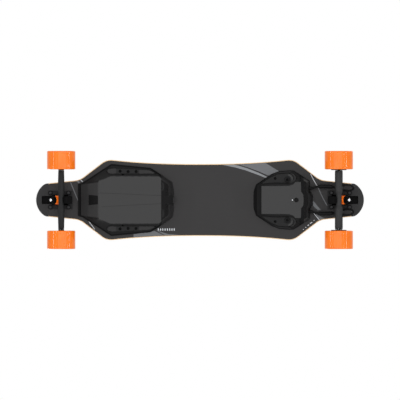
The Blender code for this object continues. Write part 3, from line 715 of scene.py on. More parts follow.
def relief(name, rim, x_range, height, columns, rows, bosses=()):
    """A moulded shell with even walls, open towards the board. Its face follows a height function."""
    rim = sorted(rim)
    xs = np.linspace(*x_range, columns)
    widths = np.interp(xs, [p[0] for p in rim], [p[1] for p in rim])
    across = np.sin(np.linspace(-1, 1, rows) * math.pi / 2 * GATHER) / math.sin(math.pi / 2 * GATHER)
    x = np.repeat(xs[:, None], rows, 1)
    y = widths[:, None] * across[None, :]
    z = height(x, y)
    wall = np.full_like(z, WALL)
    for boss_x, boss_y in bosses:
        near = BOSS_RADIUS - np.hypot(x - boss_x, np.abs(y) - boss_y)
        wall = np.maximum(wall, WALL + BOSS_RISE * step(near, 0.001))
    margin = np.minimum(np.minimum(x - xs[0], xs[-1] - x), widths[:, None] - np.abs(y))
    hollow = np.where(margin > WALL, np.minimum(z + wall, COVER_TOP), COVER_TOP)
    out = bmesh.new()
    face, lining = ([[out.verts.new(point) for point in zip(*row)] for row in zip(x, y, level)]
                    for level in (z, hollow))
    quads(face, out)
    quads(lining, out, inner=True)
    edges = []
    for grid in (face, lining):
        edge = [row[0] for row in grid] + grid[-1][1:]
        edges.append(edge + [row[-1] for row in grid[-2::-1]] + grid[0][-2:0:-1])
    for one, two, under_one, under_two in zip(*(e[k:] + e[:k] for e in edges for k in (0, 1))):
        out.faces.new((one, two, under_two, under_one))
    return new_object(name, out)


# ---------------------------------------------------------------- enclosures

SKIRT_Z = 0.0870
COVER_LIMIT = COVER_TOP - 0.0002
COVER_ANGLE = 28

CROWN_Z, RAMP_Z = 0.0522, 0.0800
RAMP_X = (0.2932, 0.3460)
BATTERY_CAP_X, BATTERY_COVER_X = (0.0757, 0.1116), (0.1121, 0.3530)
BATTERY_RIM = [(0.3530, 0.0466), (0.3420, 0.0490), (0.2570, 0.1043), (0.1430, 0.0932), (0.1190, 0.0780),
               (0.0800, 0.0508), (0.0760, 0.0300)]
BATTERY_CROWN = [(0.2930, 0.0545), (0.2587, 0.0682), (0.1190, 0.0682), (0.1110, 0.0620)]
BATTERY_LEAF = [(0.2710, 0.0830), (0.2650, 0.0905), (0.2500, 0.0925), (0.1460, 0.0868), (0.1260, 0.0775),
                (0.1400, 0.0752), (0.2600, 0.0745)]
BATTERY_SCREWS = [(0.2312, 0.0836), (0.2080, 0.0822), (0.1850, 0.0822)]
BATTERY_DIMPLE = (0.2234, 0.0735)
CAP_LEAF = [(0.1098, 0.0500), (0.1075, 0.0525), (0.1040, 0.0470), (0.1030, 0.0380), (0.1050, 0.0270),
            (0.1090, 0.0265)]
RELEASE_WINDOW = [(0.3222, 0.0149), (0.2950, 0.0121)]
RELEASE_PAD = [(0.3218, 0.0145), (0.2954, 0.0117)]


def ramp_height(x):
    """Height of the battery cover's sloped nose."""
    return CROWN_Z + (np.maximum(x - RAMP_X[0], 0) / (RAMP_X[1] - RAMP_X[0])) * (RAMP_Z - CROWN_Z)


def battery_height(x, y):
    """Depth of the battery enclosure: flat crown, sloped nose, walls with a long leaf on each side."""
    z = flanks(x, y, BATTERY_RIM, BATTERY_CROWN, CROWN_Z, 1.06, 0.85)
    side = np.abs(y)
    nose_half = np.interp(x, RAMP_X, [0.0545, 0.0470])
    nose = (x > RAMP_X[0] - 0.006) & (x < RAMP_X[1] + 0.0004)
    wall = np.clip((side - nose_half + 0.0025) / 0.0035, 0, 1)
    z = np.where(nose, np.minimum(z, toward(ramp_height(x), SKIRT_Z, wall)), z)
    z = np.where(x >= RAMP_X[1] + 0.0004, 0.0862, z)
    leaf = step(signed_distance(x, side, BATTERY_LEAF), 0.0022)
    dish = 0.0690 + 0.0020 * step(0.146 - x, 0.03) - 0.0006 * np.cos((side - 0.083) / 0.012)
    z = toward(z, dish, leaf)
    for one, two in (((0.292, 0.0208), (0.111, 0.0127)), ((0.284, -0.0197), (0.111, -0.0104))):
        z = z + ridge(line_distance(x, y, one, two), 0.00045, 0.0010)
    return np.minimum(z, COVER_LIMIT)


def battery_hollow_shade(x, side):
    """The leaf round its three screws takes the darker recess colour: painted shade in its hollow."""
    return (signed_distance(x, side, BATTERY_LEAF) > 0.0012) & (x < 0.2430) & (x > 0.1760)


def battery_cap_height(x, y):
    """The glossy cap: a convex slope from the crown down to the deck, with a raised middle band."""
    edge, side = rim_distance(x, y, BATTERY_RIM), np.abs(y)
    back = np.clip((0.1117 - x) / 0.0330, 0, 1)
    z = 0.0545 + 0.016 * back ** 2.2
    z = toward(z, SKIRT_Z, np.clip(1 - edge / 0.013, 0, 1) ** 1.5)
    z = toward(z, 0.0552 + 0.0060 * back ** 2, step(0.0118 - side, 0.0020))
    z = z + 0.0016 * step(signed_distance(x, side, CAP_LEAF), 0.002)
    return np.minimum(z, COVER_LIMIT)


def seats(spots, side, radius, top):
    """Round cuts for the screws on one side, from below the cover up to a height."""
    return [moved(rod(radius, 0.05, top), at(x, side * y)) for x, y in spots]


def cover_screws(name, spots, z, radius):
    """Small socket screws that sit in a cover's dimples, heads down."""
    head = [(radius * 0.55, 0.0016), (radius * 0.55, 0.0002), (radius * 0.90, 0.0), (radius, 0.0005),
            (radius, 0.0040), (radius * 0.2, 0.0042), (radius * 0.2, 0.0016)]
    for side, label in SIDES:
        for number, (x, y) in enumerate(spots, 1):
            piece(f"{name}_{label}_{number}", turned(head, 24, closed=True), "plate", "root",
                  matrix=at(x, side * y, z))


def finish_cover(cover, node, crown_z, rim, border, dark_zone, light_zone):
    """Painted shade: slopes, walls and hollows take darker colours, and the last millimetres above the board
    are painted black. Light-zone faces keep the cover's own tone.
    """
    looks = ("cover", "recess", "seam", "slope")
    finish_piece(cover, looks, "root", node, angle=COVER_ANGLE)
    centres = np.array([face.center[:] for face in cover.data.polygons])
    x, y = centres[:, 0], centres[:, 1]
    zones = rim_distance(x, y, rim) < border, dark_zone(x, np.abs(y)), light_zone(x, np.abs(y))
    for face, low, dark, light in zip(cover.data.polygons, *zones):
        if light:
            continue
        if face.center.z > crown_z + 0.0012:
            face.material_index = 3
        if dark or (face.center.z > crown_z + 0.0015 and abs(face.normal.z) < 0.80):
            face.material_index = 1
        if low:
            face.material_index = 2


def finish_cap(cap, node):
    """Painted light: a cap's walls take the finer-grained, lighter slope and recess colours by how steep they
    are, so they read as one tone with its face.
    """
    looks = ("gloss", "recess", "slope")
    finish_piece(cap, looks, "root", node, angle=COVER_ANGLE)
    for face in cap.data.polygons:
        upright = abs(face.normal.z)
        face.material_index = 2 if upright < 0.60 else 1 if upright < 0.85 else 0


def crease(name, one, two, look):
    """A fine moulded line on the battery cover's flat, drawn as a strip in the given colour; here the darker
    slope colour, a painted shade line.
    """
    one, two = Vector(one), Vector(two)
    across = Vector((-(two - one).y, (two - one).x)).normalized() * 0.00045
    outline = [tuple(one - across), tuple(two - across), tuple(two + across), tuple(one + across)]
    piece(name, prism(outline, CROWN_Z - 0.00004, CROWN_Z + 0.0003), look, "root")


def make_battery():
    bosses = BATTERY_SCREWS + [BATTERY_DIMPLE]
    rim = BATTERY_RIM[:5] + [(0.1120, 0.0732)]
    cover = relief("battery_shell", rim, BATTERY_COVER_X, battery_height, 220, 150, bosses)
    cutters = [prism(both_sides(RELEASE_WINDOW), 0.040, 0.085)]
    for side in (1, -1):
        cutters += seats(BATTERY_SCREWS, side, 0.0044, 0.0738)
        cutters += seats([BATTERY_DIMPLE], side, 0.0024, 0.0720)
    carve(cover, cutters)
    finish_cover(cover, "battery_cover", CROWN_Z, BATTERY_RIM, 0.0042, battery_hollow_shade, lambda x, side: x > 1)
    # Painted shade: the nose's front wall, from the ramp's end on, takes the black seam colour.
    for face in cover.data.polygons:
        if face.center.x > RAMP_X[1] - 0.0015:
            face.material_index = 2
    cover_screws("battery_screw", BATTERY_SCREWS, 0.0716, 0.0036)
    rim = [(0.1117, 0.0730)] + BATTERY_RIM[5:] + [(0.0757, 0.0290)]
    cap = relief("battery_cap_shell", rim, BATTERY_CAP_X, battery_cap_height, 60, 140)
    notch = [(0.060, -0.0105), (0.0785, -0.0105), (0.0785, 0.0105), (0.060, 0.0105)]
    port = moved(rod(0.0068, 0.0, 0.030), along((1, 0, 0), (0.070, 0, 0.072)))
    carve(cap, [prism(notch, 0.04, 0.10), port])
    finish_cap(cap, "battery_end_cap")
    # Painted shade: the cap's recessed leaf takes the darker recess colour.
    for face in cap.data.polygons:
        x, y, z = face.center
        if z < 0.075 and signed_distance(np.array([x]), np.array([abs(y)]), CAP_LEAF)[0] > 0:
            face.material_index = 1
    # Painted shade: the creases are drawn in the darker slope colour.
    crease("battery_crease_left", (0.2900, 0.0206), (0.1128, 0.0125), "slope")
    crease("battery_crease_right", (0.2850, -0.0197), (0.1128, -0.0104), "slope")
    rings = []
    for inward, rise in ((0.0010, -0.0012), (0.0, -0.0004), (0.0, 0.0050)):
        rings.append([(x, y, ramp_height(x) + rise) for x, y in inset(both_sides(RELEASE_PAD), inward)])
    piece("release_pad", loft(rings), "seam", "battery_release_body", "battery_release")


ESC_RIM = [(-0.1545, 0.0), (-0.1555, 0.0260), (-0.1625, 0.0450), (-0.2070, 0.0752), (-0.2290, 0.0835),
           (-0.2620, 0.0862), (-0.2720, 0.0850), (-0.3125, 0.0590), (-0.3180, 0.0560), (-0.3185, 0.0250),
           (-0.3225, 0.0210), (-0.3270, 0.0120)]
ESC_CROWN = [(-0.1778, 0.0405), (-0.2560, 0.0405), (-0.2690, 0.0445), (-0.2760, 0.0520), (-0.2920, 0.0522),
             (-0.2925, 0.0240), (-0.2985, 0.0160), (-0.3000, 0.0)]
ESC_LEAF = [(-0.1760, 0.0480), (-0.2050, 0.0665), (-0.2250, 0.0755), (-0.2540, 0.0780), (-0.2700, 0.0745),
            (-0.2780, 0.0640), (-0.2700, 0.0520), (-0.2580, 0.0470), (-0.2250, 0.0490)]
ESC_CUP = [(-0.2580, 0.0785), (-0.2710, 0.0765), (-0.2795, 0.0650), (-0.2735, 0.0530), (-0.2640, 0.0500),
           (-0.2705, 0.0590), (-0.2690, 0.0690)]
ESC_CROWN_Z, ESC_SKIRT_Z = 0.0542, 0.0872
ESC_CAP_X, ESC_COVER_X = (-0.3269, -0.2997), (-0.2994, -0.1550)
ESC_BAND_X, ESC_SILL_X = -0.1650, -0.2915
ESC_SCREWS = [(-0.2175, 0.0625), (-0.2525, 0.0582)]
BUTTON_X, BUTTON_RADIUS, LENS_X = -0.2785, 0.0062, -0.2672
BUTTON_FACE = 0.0540


def rear_screw_distance(x, side):
    return np.hypot(x - ESC_SCREWS[1][0], side - ESC_SCREWS[1][1])


def controller_sill(x, y):
    """Share of the fall to the board over the last centimetre of the rim."""
    return np.clip(1 - rim_distance(x, y, ESC_RIM) / 0.010, 0, 1) ** 1.7


def controller_height(x, y):
    """Depth of the controller enclosure: flat crown, a front band that is painted black as shade, screw
    leaves at the sides.
    """
    z = flanks(x, y, ESC_RIM, ESC_CROWN, ESC_CROWN_Z, 1.05, 0.8)
    side = np.abs(y)
    z = toward(z, 0.0715, step(signed_distance(x, side, ESC_LEAF), 0.0025))
    z = toward(z, 0.0660, step(signed_distance(x, side, ESC_CUP), 0.0020))
    reach = rear_screw_distance(x, side)
    z = z - ridge(reach - 0.0052, 0.0012, 0.0010) + ridge(reach - 0.0083, 0.0012, 0.0010)
    z = z - ridge(np.hypot(x - BUTTON_X, y) - 0.0080, 0.0001, 0.0012)
    sill = toward(0.0558, ESC_SKIRT_Z, controller_sill(x, y))
    z = np.where(x < ESC_SILL_X, np.minimum(z, sill), z)
    return np.minimum(z, COVER_LIMIT)


def controller_hollow_shade(x, side):
    """The screw leaf takes the darker recess colour: painted shade in its hollow."""
    return signed_distance(x, side, ESC_LEAF) > 0.0008


def controller_crescent(x, side):
    """The pale crescent behind the rear screw of the leaf."""
    reach = rear_screw_distance(x, side)
    band = (reach > 0.0125) & (reach < 0.0180) & (x < -0.2560)
    return band & (signed_distance(x, side, ESC_LEAF) > -0.0010)


def controller_cap_height(x, y):
    back = np.clip((-0.2995 - x) / 0.0270, 0, 1)
    z = 0.0560 + 0.016 * back ** 1.6
    z = toward(z, ESC_SKIRT_Z, controller_sill(x, y))
    z = z + 0.0010 * step(np.abs(y) - 0.0235, 0.003) * (back > 0.05)
    return np.minimum(z, COVER_LIMIT)


def make_controller():
    rim = ESC_RIM[:7] + [(-0.2994, 0.0674)]
    cover = relief("controller_shell", rim, ESC_COVER_X, controller_height, 190, 170, ESC_SCREWS)
    cutters = [moved(rod(BUTTON_RADIUS + 0.0003, 0.04, 0.068), at(BUTTON_X, 0))]
    cutters.append(moved(rod(0.0021, 0.04, 0.068), at(LENS_X, 0)))
    for side in (1, -1):
        cutters += seats(ESC_SCREWS, side, 0.0042, 0.0757)
    for k in range(10):
        angle = math.radians(35 + 29 * k)
        x, y = LENS_X + 0.0020 + 0.0105 * math.cos(angle), 0.0125 * math.sin(angle)
        if math.hypot(x - BUTTON_X, y) > BUTTON_RADIUS + 0.002:
            cutters.append(moved(rod(0.0006, 0.04, 0.0552), at(x, y)))
    carve(cover, cutters)
    finish_cover(cover, "controller_cover", ESC_CROWN_Z, ESC_RIM, 0.0028, controller_hollow_shade,
                 controller_crescent)
    # Painted shade: the front band and the rear sill's slope take the black seam colour.
    for face in cover.data.polygons:
        x, z = face.center.x, face.center.z
        if x > ESC_BAND_X or (x < ESC_SILL_X and z > ESC_CROWN_Z + 0.0006):
            face.material_index = 2
    cover_screws("controller_screw", ESC_SCREWS, 0.0738, 0.0034)
    rim = [(-0.2997, 0.0672)] + ESC_RIM[7:] + [(-0.3269, 0.0118)]
    cap = relief("controller_cap_shell", rim, ESC_CAP_X, controller_cap_height, 50, 150)
    outlets = [along((-1, 0, 0), (-0.3085, side * 0.0340, 0.0745)) for side in (1, -1)]
    carve(cap, [moved(rod(0.0040, -0.012, 0.030), outlet) for outlet in outlets])
    finish_cap(cap, "controller_end_cap")
    r = BUTTON_RADIUS
    button = [(r * 0.62, -0.0004), (r * 0.72, -0.0012), (r - 0.0004, -0.0013), (r, -0.0008), (r, 0.0035)]
    piece("power_button_cap", turned(button, 48), "gloss", "power_button_body", "power_button",
          at(BUTTON_X, 0, BUTTON_FACE))
    lens = [(0.0010, -0.0004), (0.0016, -0.0001), (0.0018, 0.0004), (0.0018, 0.0035)]
    piece("status_lamp", turned(lens, 32), "lens", "root", "status_light_lens",
          at(LENS_X, 0, BUTTON_FACE))


# ---------------------------------------------------------------- trucks

def truck_place(end):
    """The truck's own frame: its ring centre, turned half round at the tail."""
    return at(end * RING_CENTRE.x, 0, RING_CENTRE.z) @ Matrix.Rotation(0 if end > 0 else math.pi, 4, "Z")


def casting(name, parts, bores, look, body, node, place):
    """Overlapping solids flowed into one casting with soft inner corners, then bored."""
    made = new_object(name, joined(parts), place)
    remesh = made.modifiers.new("flow", "REMESH")
    remesh.mode = "VOXEL"
    remesh.voxel_size = 0.0009
    smooth = made.modifiers.new("soften", "SMOOTH")
    smooth.factor = 0.5
    smooth.iterations = 6
    bake(made)
    carve(made, [moved(bore, place) for bore in bores])
    finish_piece(made, look, body, node, angle=40)


def hanger_parts(front):
    """Bar with its flare to the wheels, ring, web and pivot nose, in the truck's frame."""
    if front:
        half = [(0.0081, 0.014), (0.0097, 0.025), (0.0095, 0.050), (0.0087, 0.078), (0.0087, BAR_END)]
    else:
        half = [(0.0081, 0.014), (0.0112, 0.026), (0.0115, 0.036), (0.0115, 0.078), (0.0112, BAR_END)]
    bar = turned([(r, -y) for r, y in reversed(half)] + half)
    ring = turned([(0.0150, -0.0040), (0.0160, -0.0028), (0.0160, 0.0028), (0.0150, 0.0040)])
    web = [tuple((-0.0032 * OUT - 0.0095 * STEER).xz), tuple((0.0032 * OUT - 0.0136 * STEER).xz),
           (AXLE.x + 0.0070, AXLE.z + 0.002), (AXLE.x - 0.0070, AXLE.z + 0.002)]
    nose = turned([(0.0070, 0.0136), (0.0055, 0.030), (0.0052, 0.0400), (0.0042, 0.0420)], 40)
    return [moved(bar, sideways(1, AXLE)), moved(ring, along(OUT)), side_prism(web, 0.0125),
            moved(nose, along(-STEER))]


def make_hanger(end, name):
    place, look, body = truck_place(end), f"{name}_cast", f"{name}_hanger_body"
    bores = [moved(rod(0.0083, -0.010, 0.010, 48), along(OUT))]
    bores.append(moved(rod(0.0044, -0.1, 0.1, 32), sideways(1, AXLE)))
    casting(f"{name}_hanger_casting", hanger_parts(end > 0), bores, look, body, f"{name}_hanger", place)
    reach = WHEEL_INNER + WHEEL_WIDTH - 0.0016
    axle = [(0.0030, -reach), (0.0039, -reach + 0.0008), (0.0039, reach - 0.0008), (0.0030, reach)]
    piece(f"{name}_axle_rod", turned(axle, 32), "steel", body, f"{name}_axle",
          place @ sideways(1, AXLE))
    tip = 0.0086 if end > 0 else 0.0110
    reach = WHEEL_INNER + (0.0058 if end > 0 else -0.0022)
    start = BAR_END + 0.0002
    for side, label in SIDES:
        spacer = soft_ring([(0.0041, start), (tip, start), (tip * 0.9, reach), (0.0041, reach)], 0.0004, 3)
        piece(f"{name}_{label}_spacer", spacer, look, body,
              matrix=place @ sideways(side * end, AXLE))


def baseplate_profile():
    """The baseplate from the side: its block, the kingpin's seat and the pivot's arm."""
    seat_top = -0.0166 * OUT + 0.013 * STEER
    seat_low = -0.0166 * OUT - 0.013 * STEER
    mouth, foot, half = 0.033, 0.046, 0.011
    slanted = [
        seat_top, seat_low, -mouth * STEER - half * OUT, -mouth * STEER + half * OUT,
        -foot * STEER + half * OUT, -foot * STEER - half * OUT,
    ]
    block = [(-0.033, 0.041), (0.012, 0.041), (0.012, 0.0275)]
    return block + [(corner.x, corner.z) for corner in slanted] + [(-0.0355, 0.0), (-0.033, 0.020)]


def bolt_spots():
    return [(x, y) for x in BOLT_X for y in (-BOLT_HALF_PITCH, BOLT_HALF_PITCH)]


def bolt_bores(low, high):
    return [moved(rod(0.0027, low, high, 24), at(x, y)) for x, y in bolt_spots()]


def flange_outline(margin, radius):
    """The baseplate's flange, which narrows to a tongue over the slot's outer end."""
    low, high, side = -0.038 - margin, 0.042 + margin, 0.027 + margin
    tip, tip_side = 0.0525 + margin, 0.016 + margin
    corners = [(tip, -tip_side, radius), (tip, tip_side, radius), (high, side, radius), (low, side, radius)]
    return rounded(corners + [(low, -side, radius), (high, -side, radius)])


def make_baseplate(end, name):
    parts = [prism(flange_outline(-0.0002, 0.003), 0.0379, 0.0433), side_prism(baseplate_profile(), 0.0106)]
    bores = [moved(rod(0.0053, -0.0333, 0), along(OUT)), moved(rod(0.0079, 0.030, 0.0433), along(-STEER))]
    # The baseplate's black is darkened further as painted shade.
    casting(f"{name}_baseplate_casting", parts, bores + bolt_bores(0.03, 0.06), "plate", "root",
            f"{name}_baseplate", truck_place(end))


def make_backing_plate(end, name):
    """Thin plate round the slot on the underside, with rounded outer corners."""
    low, high, side = -0.0378, GUARD_SEAM - RING_CENTRE.x - 0.001, 0.0268
    corners = [(low, -side, 0.0015), (high, -side, 0.007), (high, side, 0.007), (low, side, 0.0015)]
    top = DECK_BOTTOM - RING_CENTRE.z - 0.0002
    plate = new_object(f"{name}_slot_plate", soft_prism(rounded(corners), top - 0.0019, top, 0.0005, 2))
    window = [(-0.034, -0.0120, 0), (-0.025, -0.0120, 0), (-0.025, -0.0155, 0), (0.0215, -0.0155, 0.002)]
    window += [(0.0215, -0.0120, 0), (high + 0.01, -0.0120, 0)]
    window += [(x, -y, r) for x, y, r in reversed(window)]
    carve(plate, [prism(rounded(window), 0.01, 0.05)] + bolt_bores(0.01, 0.05))
    plate.data.transform(truck_place(end))
    finish_piece(plate, "recess", "root", f"{name}_backing_plate")


def hex_nut(radius, low, high, bore):
    """A hexagonal nut with rounded flats and chamfered ends."""
    turns = [k * math.tau / 48 for k in range(48)]
    rings = []
    for inward, z in ((0.0007, low), (0.0, low + 0.0007), (0.0, high - 0.0007), (0.0007, high)):
        ring = []
        for angle in turns:
            part = (angle + math.pi / 6) % (math.pi / 3) - math.pi / 6
            reach = min(radius, radius * math.cos(math.pi / 6) / math.cos(part) * 1.01) - inward
            ring.append((reach * math.cos(angle), reach * math.sin(angle), z))
        rings.append(ring)
    core = [[(bore * math.cos(angle), bore * math.sin(angle), z) for angle in turns] for z in (high, low)]
    return loft(rings + core, closed=True)


def bulged(profile):
    """A bushing's section with its corners rounded, and rings enough to bend smoothly."""
    out = []
    section = rounded_profile(profile, 0.0011, 4)
    for one, two in zip(section, section[1:] + section[:1]):
        one, two = Vector(one), Vector(two)
        steps = max(1, round((two - one).length / 0.0012))
        out += [tuple(one.lerp(two, k / steps)) for k in range(steps)]
    return out


BUSHINGS = {
    # its section in the kingpin's frame, the height of its still end and of the end that the hanger carries
    "board": ([(0.0054, -0.0163), (0.0094, -0.0163), (0.0110, -0.0103), (0.0120, -0.0043), (0.0066, -0.0043),
               (0.0066, -0.0143)], -0.0163, -0.0043),
    "road": ([(0.0066, 0.0043), (0.0129, 0.0043), (0.0130, 0.0100), (0.0118, 0.0190), (0.0054, 0.0190),
              (0.0066, 0.0170)], 0.0190, 0.0043),
}


def make_truck_hardware(end, name):
    place = truck_place(end)
    outwards = place @ along(OUT)
    pin = [(0.0042, -0.0328), (0.0048, -0.0320), (0.0048, 0.0240), (0.0044, 0.0246), (0.0044, 0.0325),
           (0.0030, 0.0338)]
    piece(f"{name}_kingpin_bolt", turned(pin, 40), "steel", "root", f"{name}_kingpin", outwards)
    washer = [(0.0052, 0.0193), (0.0125, 0.0193), (0.0121, 0.0213), (0.0052, 0.0213)]
    nut = joined([soft_ring(washer, 0.0005, 3, 64), hex_nut(0.0086, 0.0211, 0.0296, 0.0052)])
    piece(f"{name}_kingpin_lock_nut", nut, "plate", "root", f"{name}_kingpin_nut", outwards)
    for label, (profile, fixed, carried) in BUSHINGS.items():
        bushing = new_object(f"{name}_bushing_{label}", turned(bulged(profile), closed=True), outwards)
        bushing.data.materials.append(LOOKS["bushing"])
        bushing.data.shade_smooth()
        bushing.data.set_sharp_from_angle(angle=math.radians(40))
        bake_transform(bushing)
        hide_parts(f"{name}_{label}side_bushing")
    cup = soft_ring([(0.0061, 0.0335), (0.0076, 0.0335), (0.0076, 0.0430), (0.0061, 0.0430)], 0.0003, 2)
    piece(f"{name}_pivot_liner", cup, "guard", "root", f"{name}_pivot_cup",
          place @ along(-STEER))
    washer = [(0.0025, 0.02285), (0.0066, 0.02285), (0.0066, 0.02335), (0.0025, 0.02335)]
    shank = [(0.0018, 0.0190), (0.0023, 0.0196), (0.0023, 0.0436), (0.0044, 0.0438), (0.0045, 0.0452),
             (0.0040, 0.0460), (0.0020, 0.0461), (0.0018, 0.0448)]
    for number, (x, y) in enumerate(bolt_spots(), 1):
        here = place @ at(x, y)
        piece(f"{name}_bolt_washer_{number}", soft_ring(washer, 0.0001, 2), "seam", "root",
              matrix=here)
        bolt = joined([turned(shank, 32), hex_nut(0.0046, 0.0186, 0.0228, 0.0022)])
        piece(f"{name}_bolt_{number}", bolt, "black_steel", "root", f"{name}_truck_bolt_{number}",
              here)


# ---------------------------------------------------------------- wheels

def tyre(inner):
    """Rounded lips on both sides of a flat rolling face."""
    half = [(inner, 0.0030), (inner + 0.0030, 0.0006), (0.0388, 0.0), (WHEEL_RADIUS, 0.0014)]
    return soft_ring(half + [(r, WHEEL_WIDTH - h) for r, h in reversed(half)], 0.0016, 5, 128)


def box_section(inner, outer, low, high):
    return [(inner, low), (outer, low), (outer, high), (inner, high)]


def make_front_wheel(side, label):
    name = f"front_{label}"
    body = f"{name}_wheel"
    place = sideways(side, (AXLE_X, side * WHEEL_INNER, AXLE_Z))
    last = WHEEL_WIDTH
    piece(f"{name}_tyre_cast", tyre(0.0220), "orange", body, f"{name}_tyre", place)
    rim = box_section(0.0185, 0.0217, 0.0050, last - 0.0050) + [(0.0180, last / 2)]
    seat = [
        (0.0112, 0.0060), (0.0135, 0.0060), (0.0140, last / 2), (0.0135, last - 0.0060),
        (0.0112, last - 0.0060),
    ]
    parts = [soft_ring(rim, 0.0008, 3, 96), soft_ring(seat, 0.0006, 3, 64)]
    for k in range(8):
        spoke = prism([(0.0128, -0.0017), (0.0190, -0.0024), (0.0190, 0.0024), (0.0128, 0.0017)], 0.0085,
                      last - 0.0085)
        parts.append(moved(spoke, Matrix.Rotation(k * math.tau / 8, 4, "Z")))
    piece(f"{name}_core_moulding", joined(parts), "gloss", body, f"{name}_core", place)
    races = []
    for low in (0.0062, last - 0.0132):
        high = low + 0.0070
        for section in (box_section(0.0092, 0.0109, low, high), box_section(0.0044, 0.0060, low, high),
                        box_section(0.0058, 0.0094, low + 0.0007, high - 0.0007)):
            races.append(soft_ring(section, 0.0003, 2, 64))
    races.append(turned(box_section(0.0044, 0.0056, 0.0130, last - 0.0130), 40, closed=True))
    piece(f"{name}_bearings", joined(races), "steel", body, f"{name}_bearing_set", place)
    nut = hex_nut(0.0074, last - 0.0058, last - 0.0016, 0.0042)
    piece(f"{name}_nut", nut, "black_steel", body, f"{name}_axle_nut", place)


def make_rear_wheel(side, label):
    """Tyre sleeve on a motor can with a bolted outer face, and the still inner cover."""
    name = f"rear_{label}"
    body = f"{name}_wheel"
    place = sideways(side, (-AXLE_X, side * WHEEL_INNER, AXLE_Z))
    piece(f"{name}_tyre_cast", tyre(0.0319), "orange", body, f"{name}_tyre", place)
    low, high = 0.0040, WHEEL_WIDTH - 0.0040
    dish, under = high - 0.0012, high - 0.003
    can = [
        (0.0236, low), (0.0314, low), (0.0314, high - 0.0014), (0.0290, high), (0.0210, high), (0.0190, dish),
        (0.0090, dish), (0.0044, dish), (0.0044, under), (0.0289, under), (0.0289, low + 0.0025),
        (0.0236, low + 0.0025),
    ]
    piece(f"{name}_can", soft_ring(can, 0.0008, 3, 96), "gloss", body, f"{name}_motor_can",
          place)
    head = [
        (0.0006, high - 0.0016), (0.0006, high - 0.0004), (0.0019, high + 0.0006), (0.0021, high + 0.0002),
        (0.0021, high - 0.0016),
    ]
    for k in range(6):
        angle = k * math.tau / 6
        piece(f"{name}_can_screw_{k + 1}", turned(head, 20, closed=True), "steel", body,
              matrix=place @ at(0.0250 * math.cos(angle), 0.0250 * math.sin(angle)))
    stator = [
        (0.0044, -0.0019), (0.0215, -0.0019), (0.0225, -0.0008), (0.0225, 0.0040), (0.0150, 0.0075),
        (0.0150, 0.0100), (0.0262, 0.0100), (0.0262, 0.0400), (0.0044, 0.0400),
    ]
    parts = [soft_ring(stator, 0.0007, 3, 72)]
    dome = [(0.0006, -0.0021), (0.0014, -0.00205), (0.0018, -0.0018), (0.0018, 0.002)]
    for k in range(6):
        angle = (k + 0.5) * math.tau / 6
        parts.append(moved(turned(dome, 16), at(0.0185 * math.cos(angle), 0.0185 * math.sin(angle))))
    piece(f"{name}_stator_cover", joined(parts), "plate", "rear_hanger_body", f"{name}_stator",
          place)
    nut = hex_nut(0.0074, high + 0.0003, high + 0.0034, 0.0042)
    piece(f"{name}_nut", nut, "black_steel", body, f"{name}_axle_nut", place)


# ---------------------------------------------------------------- cables

MOTOR_CABLE_ROUTE = [
    (-0.3110, 0.0340, 0.0745), (-0.3250, 0.0345, 0.0745), (-0.3420, 0.0390, 0.0740),
    (-0.3650, 0.0400, 0.0735), (-0.3870, 0.0385, 0.0730), (-0.4040, 0.0320, 0.0690),
    (-0.4210, 0.0275, 0.0620), (-0.4370, 0.0285, 0.0540), (-0.4440, 0.0350, 0.0480),
    (-0.4370, 0.0420, 0.0440), (-0.4260, 0.0440, 0.0420), (-0.4140, 0.0440, 0.0410),
]
CABLE_RADIUS = 0.0031
SLEEVE_RADIUS, SLEEVE_SWELL = 0.0036, 0.0024


def smooth_route(route, spacing):
    """Points at an even step along a smooth curve through a route's own points."""
    points = [Vector(point) for point in route]
    points = [2 * points[0] - points[1]] + points + [2 * points[-1] - points[-2]]
    out = []
    for a, b, c, d in zip(points, points[1:], points[2:], points[3:]):
        steps = max(2, round((c - b).length / spacing))
        for k in range(steps):
            t = k / steps
            bend, twist = 2 * a - 5 * b + 4 * c - d, 3 * b - a - 3 * c + d
            out.append(0.5 * (2 * b + (c - a) * t + bend * t**2 + twist * t**3))
    return out + [points[-2]]


def tube(points, radius_at, facets):
    """A round tube along points, its radius read from the share of the way."""
    rings = []
    up = Vector((0, 0, 1))
    turns = [k * math.tau / facets for k in range(facets)]
    for i, point in enumerate(points):
        ahead = (points[min(i + 1, len(points) - 1)] - points[max(i - 1, 0)]).normalized()
        side = ahead.cross(up).normalized()
        over = side.cross(ahead).normalized()
        radius = radius_at(i / (len(points) - 1))
        rings.append([point + (side * math.cos(angle) + over * math.sin(angle)) * radius for angle in turns])
    return loft(rings)


def sleeve_radius(share):
    """A connector sleeve's radius: full in the middle, drawn in at both ends."""
    return SLEEVE_RADIUS + SLEEVE_SWELL * min(1.0, min(share, 1 - share) / 0.14) ** 0.7


def make_motor_cable(side, label):
    route = [Vector((x, side * y, z)) for x, y, z in MOTOR_CABLE_ROUTE]
    cord = tube(smooth_route(route, 0.0015), lambda share: CABLE_RADIUS, 20)
    cable = new_object(f"{label}_phase_cable", cord)
    cable.data.materials.append(LOOKS["cable"])
    cable.data.shade_smooth()
    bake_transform(cable)
    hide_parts(f"{label}_motor_cable")
    sleeve = tube(smooth_route(route[2:5], 0.0012), sleeve_radius, 28)
    piece(f"{label}_connector_sleeve", sleeve, "cable", "root", angle=50)
    gland = [(0.0034, 0.0), (0.0048, 0.0), (0.0052, 0.0045), (0.0042, 0.0080), (0.0034, 0.0080)]
    piece(f"{label}_cable_gland", soft_ring(gland, 0.0005, 3), "cable", "rear_hanger_body",
          matrix=along((-1, 0, 0), (-0.4118, side * 0.0440, 0.0410)))
    boot = [(0.0033, 0.0), (0.0046, 0.0), (0.0040, 0.0090), (0.0033, 0.0090)]
    piece(f"{label}_outlet_boot_1", soft_ring(boot, 0.0004, 3, 36), "cable", "root",
          matrix=along((-1, 0.02 * side, 0), (-0.3188, side * 0.0342, 0.0745)))


# ---------------------------------------------------------------- kept nodes and stage

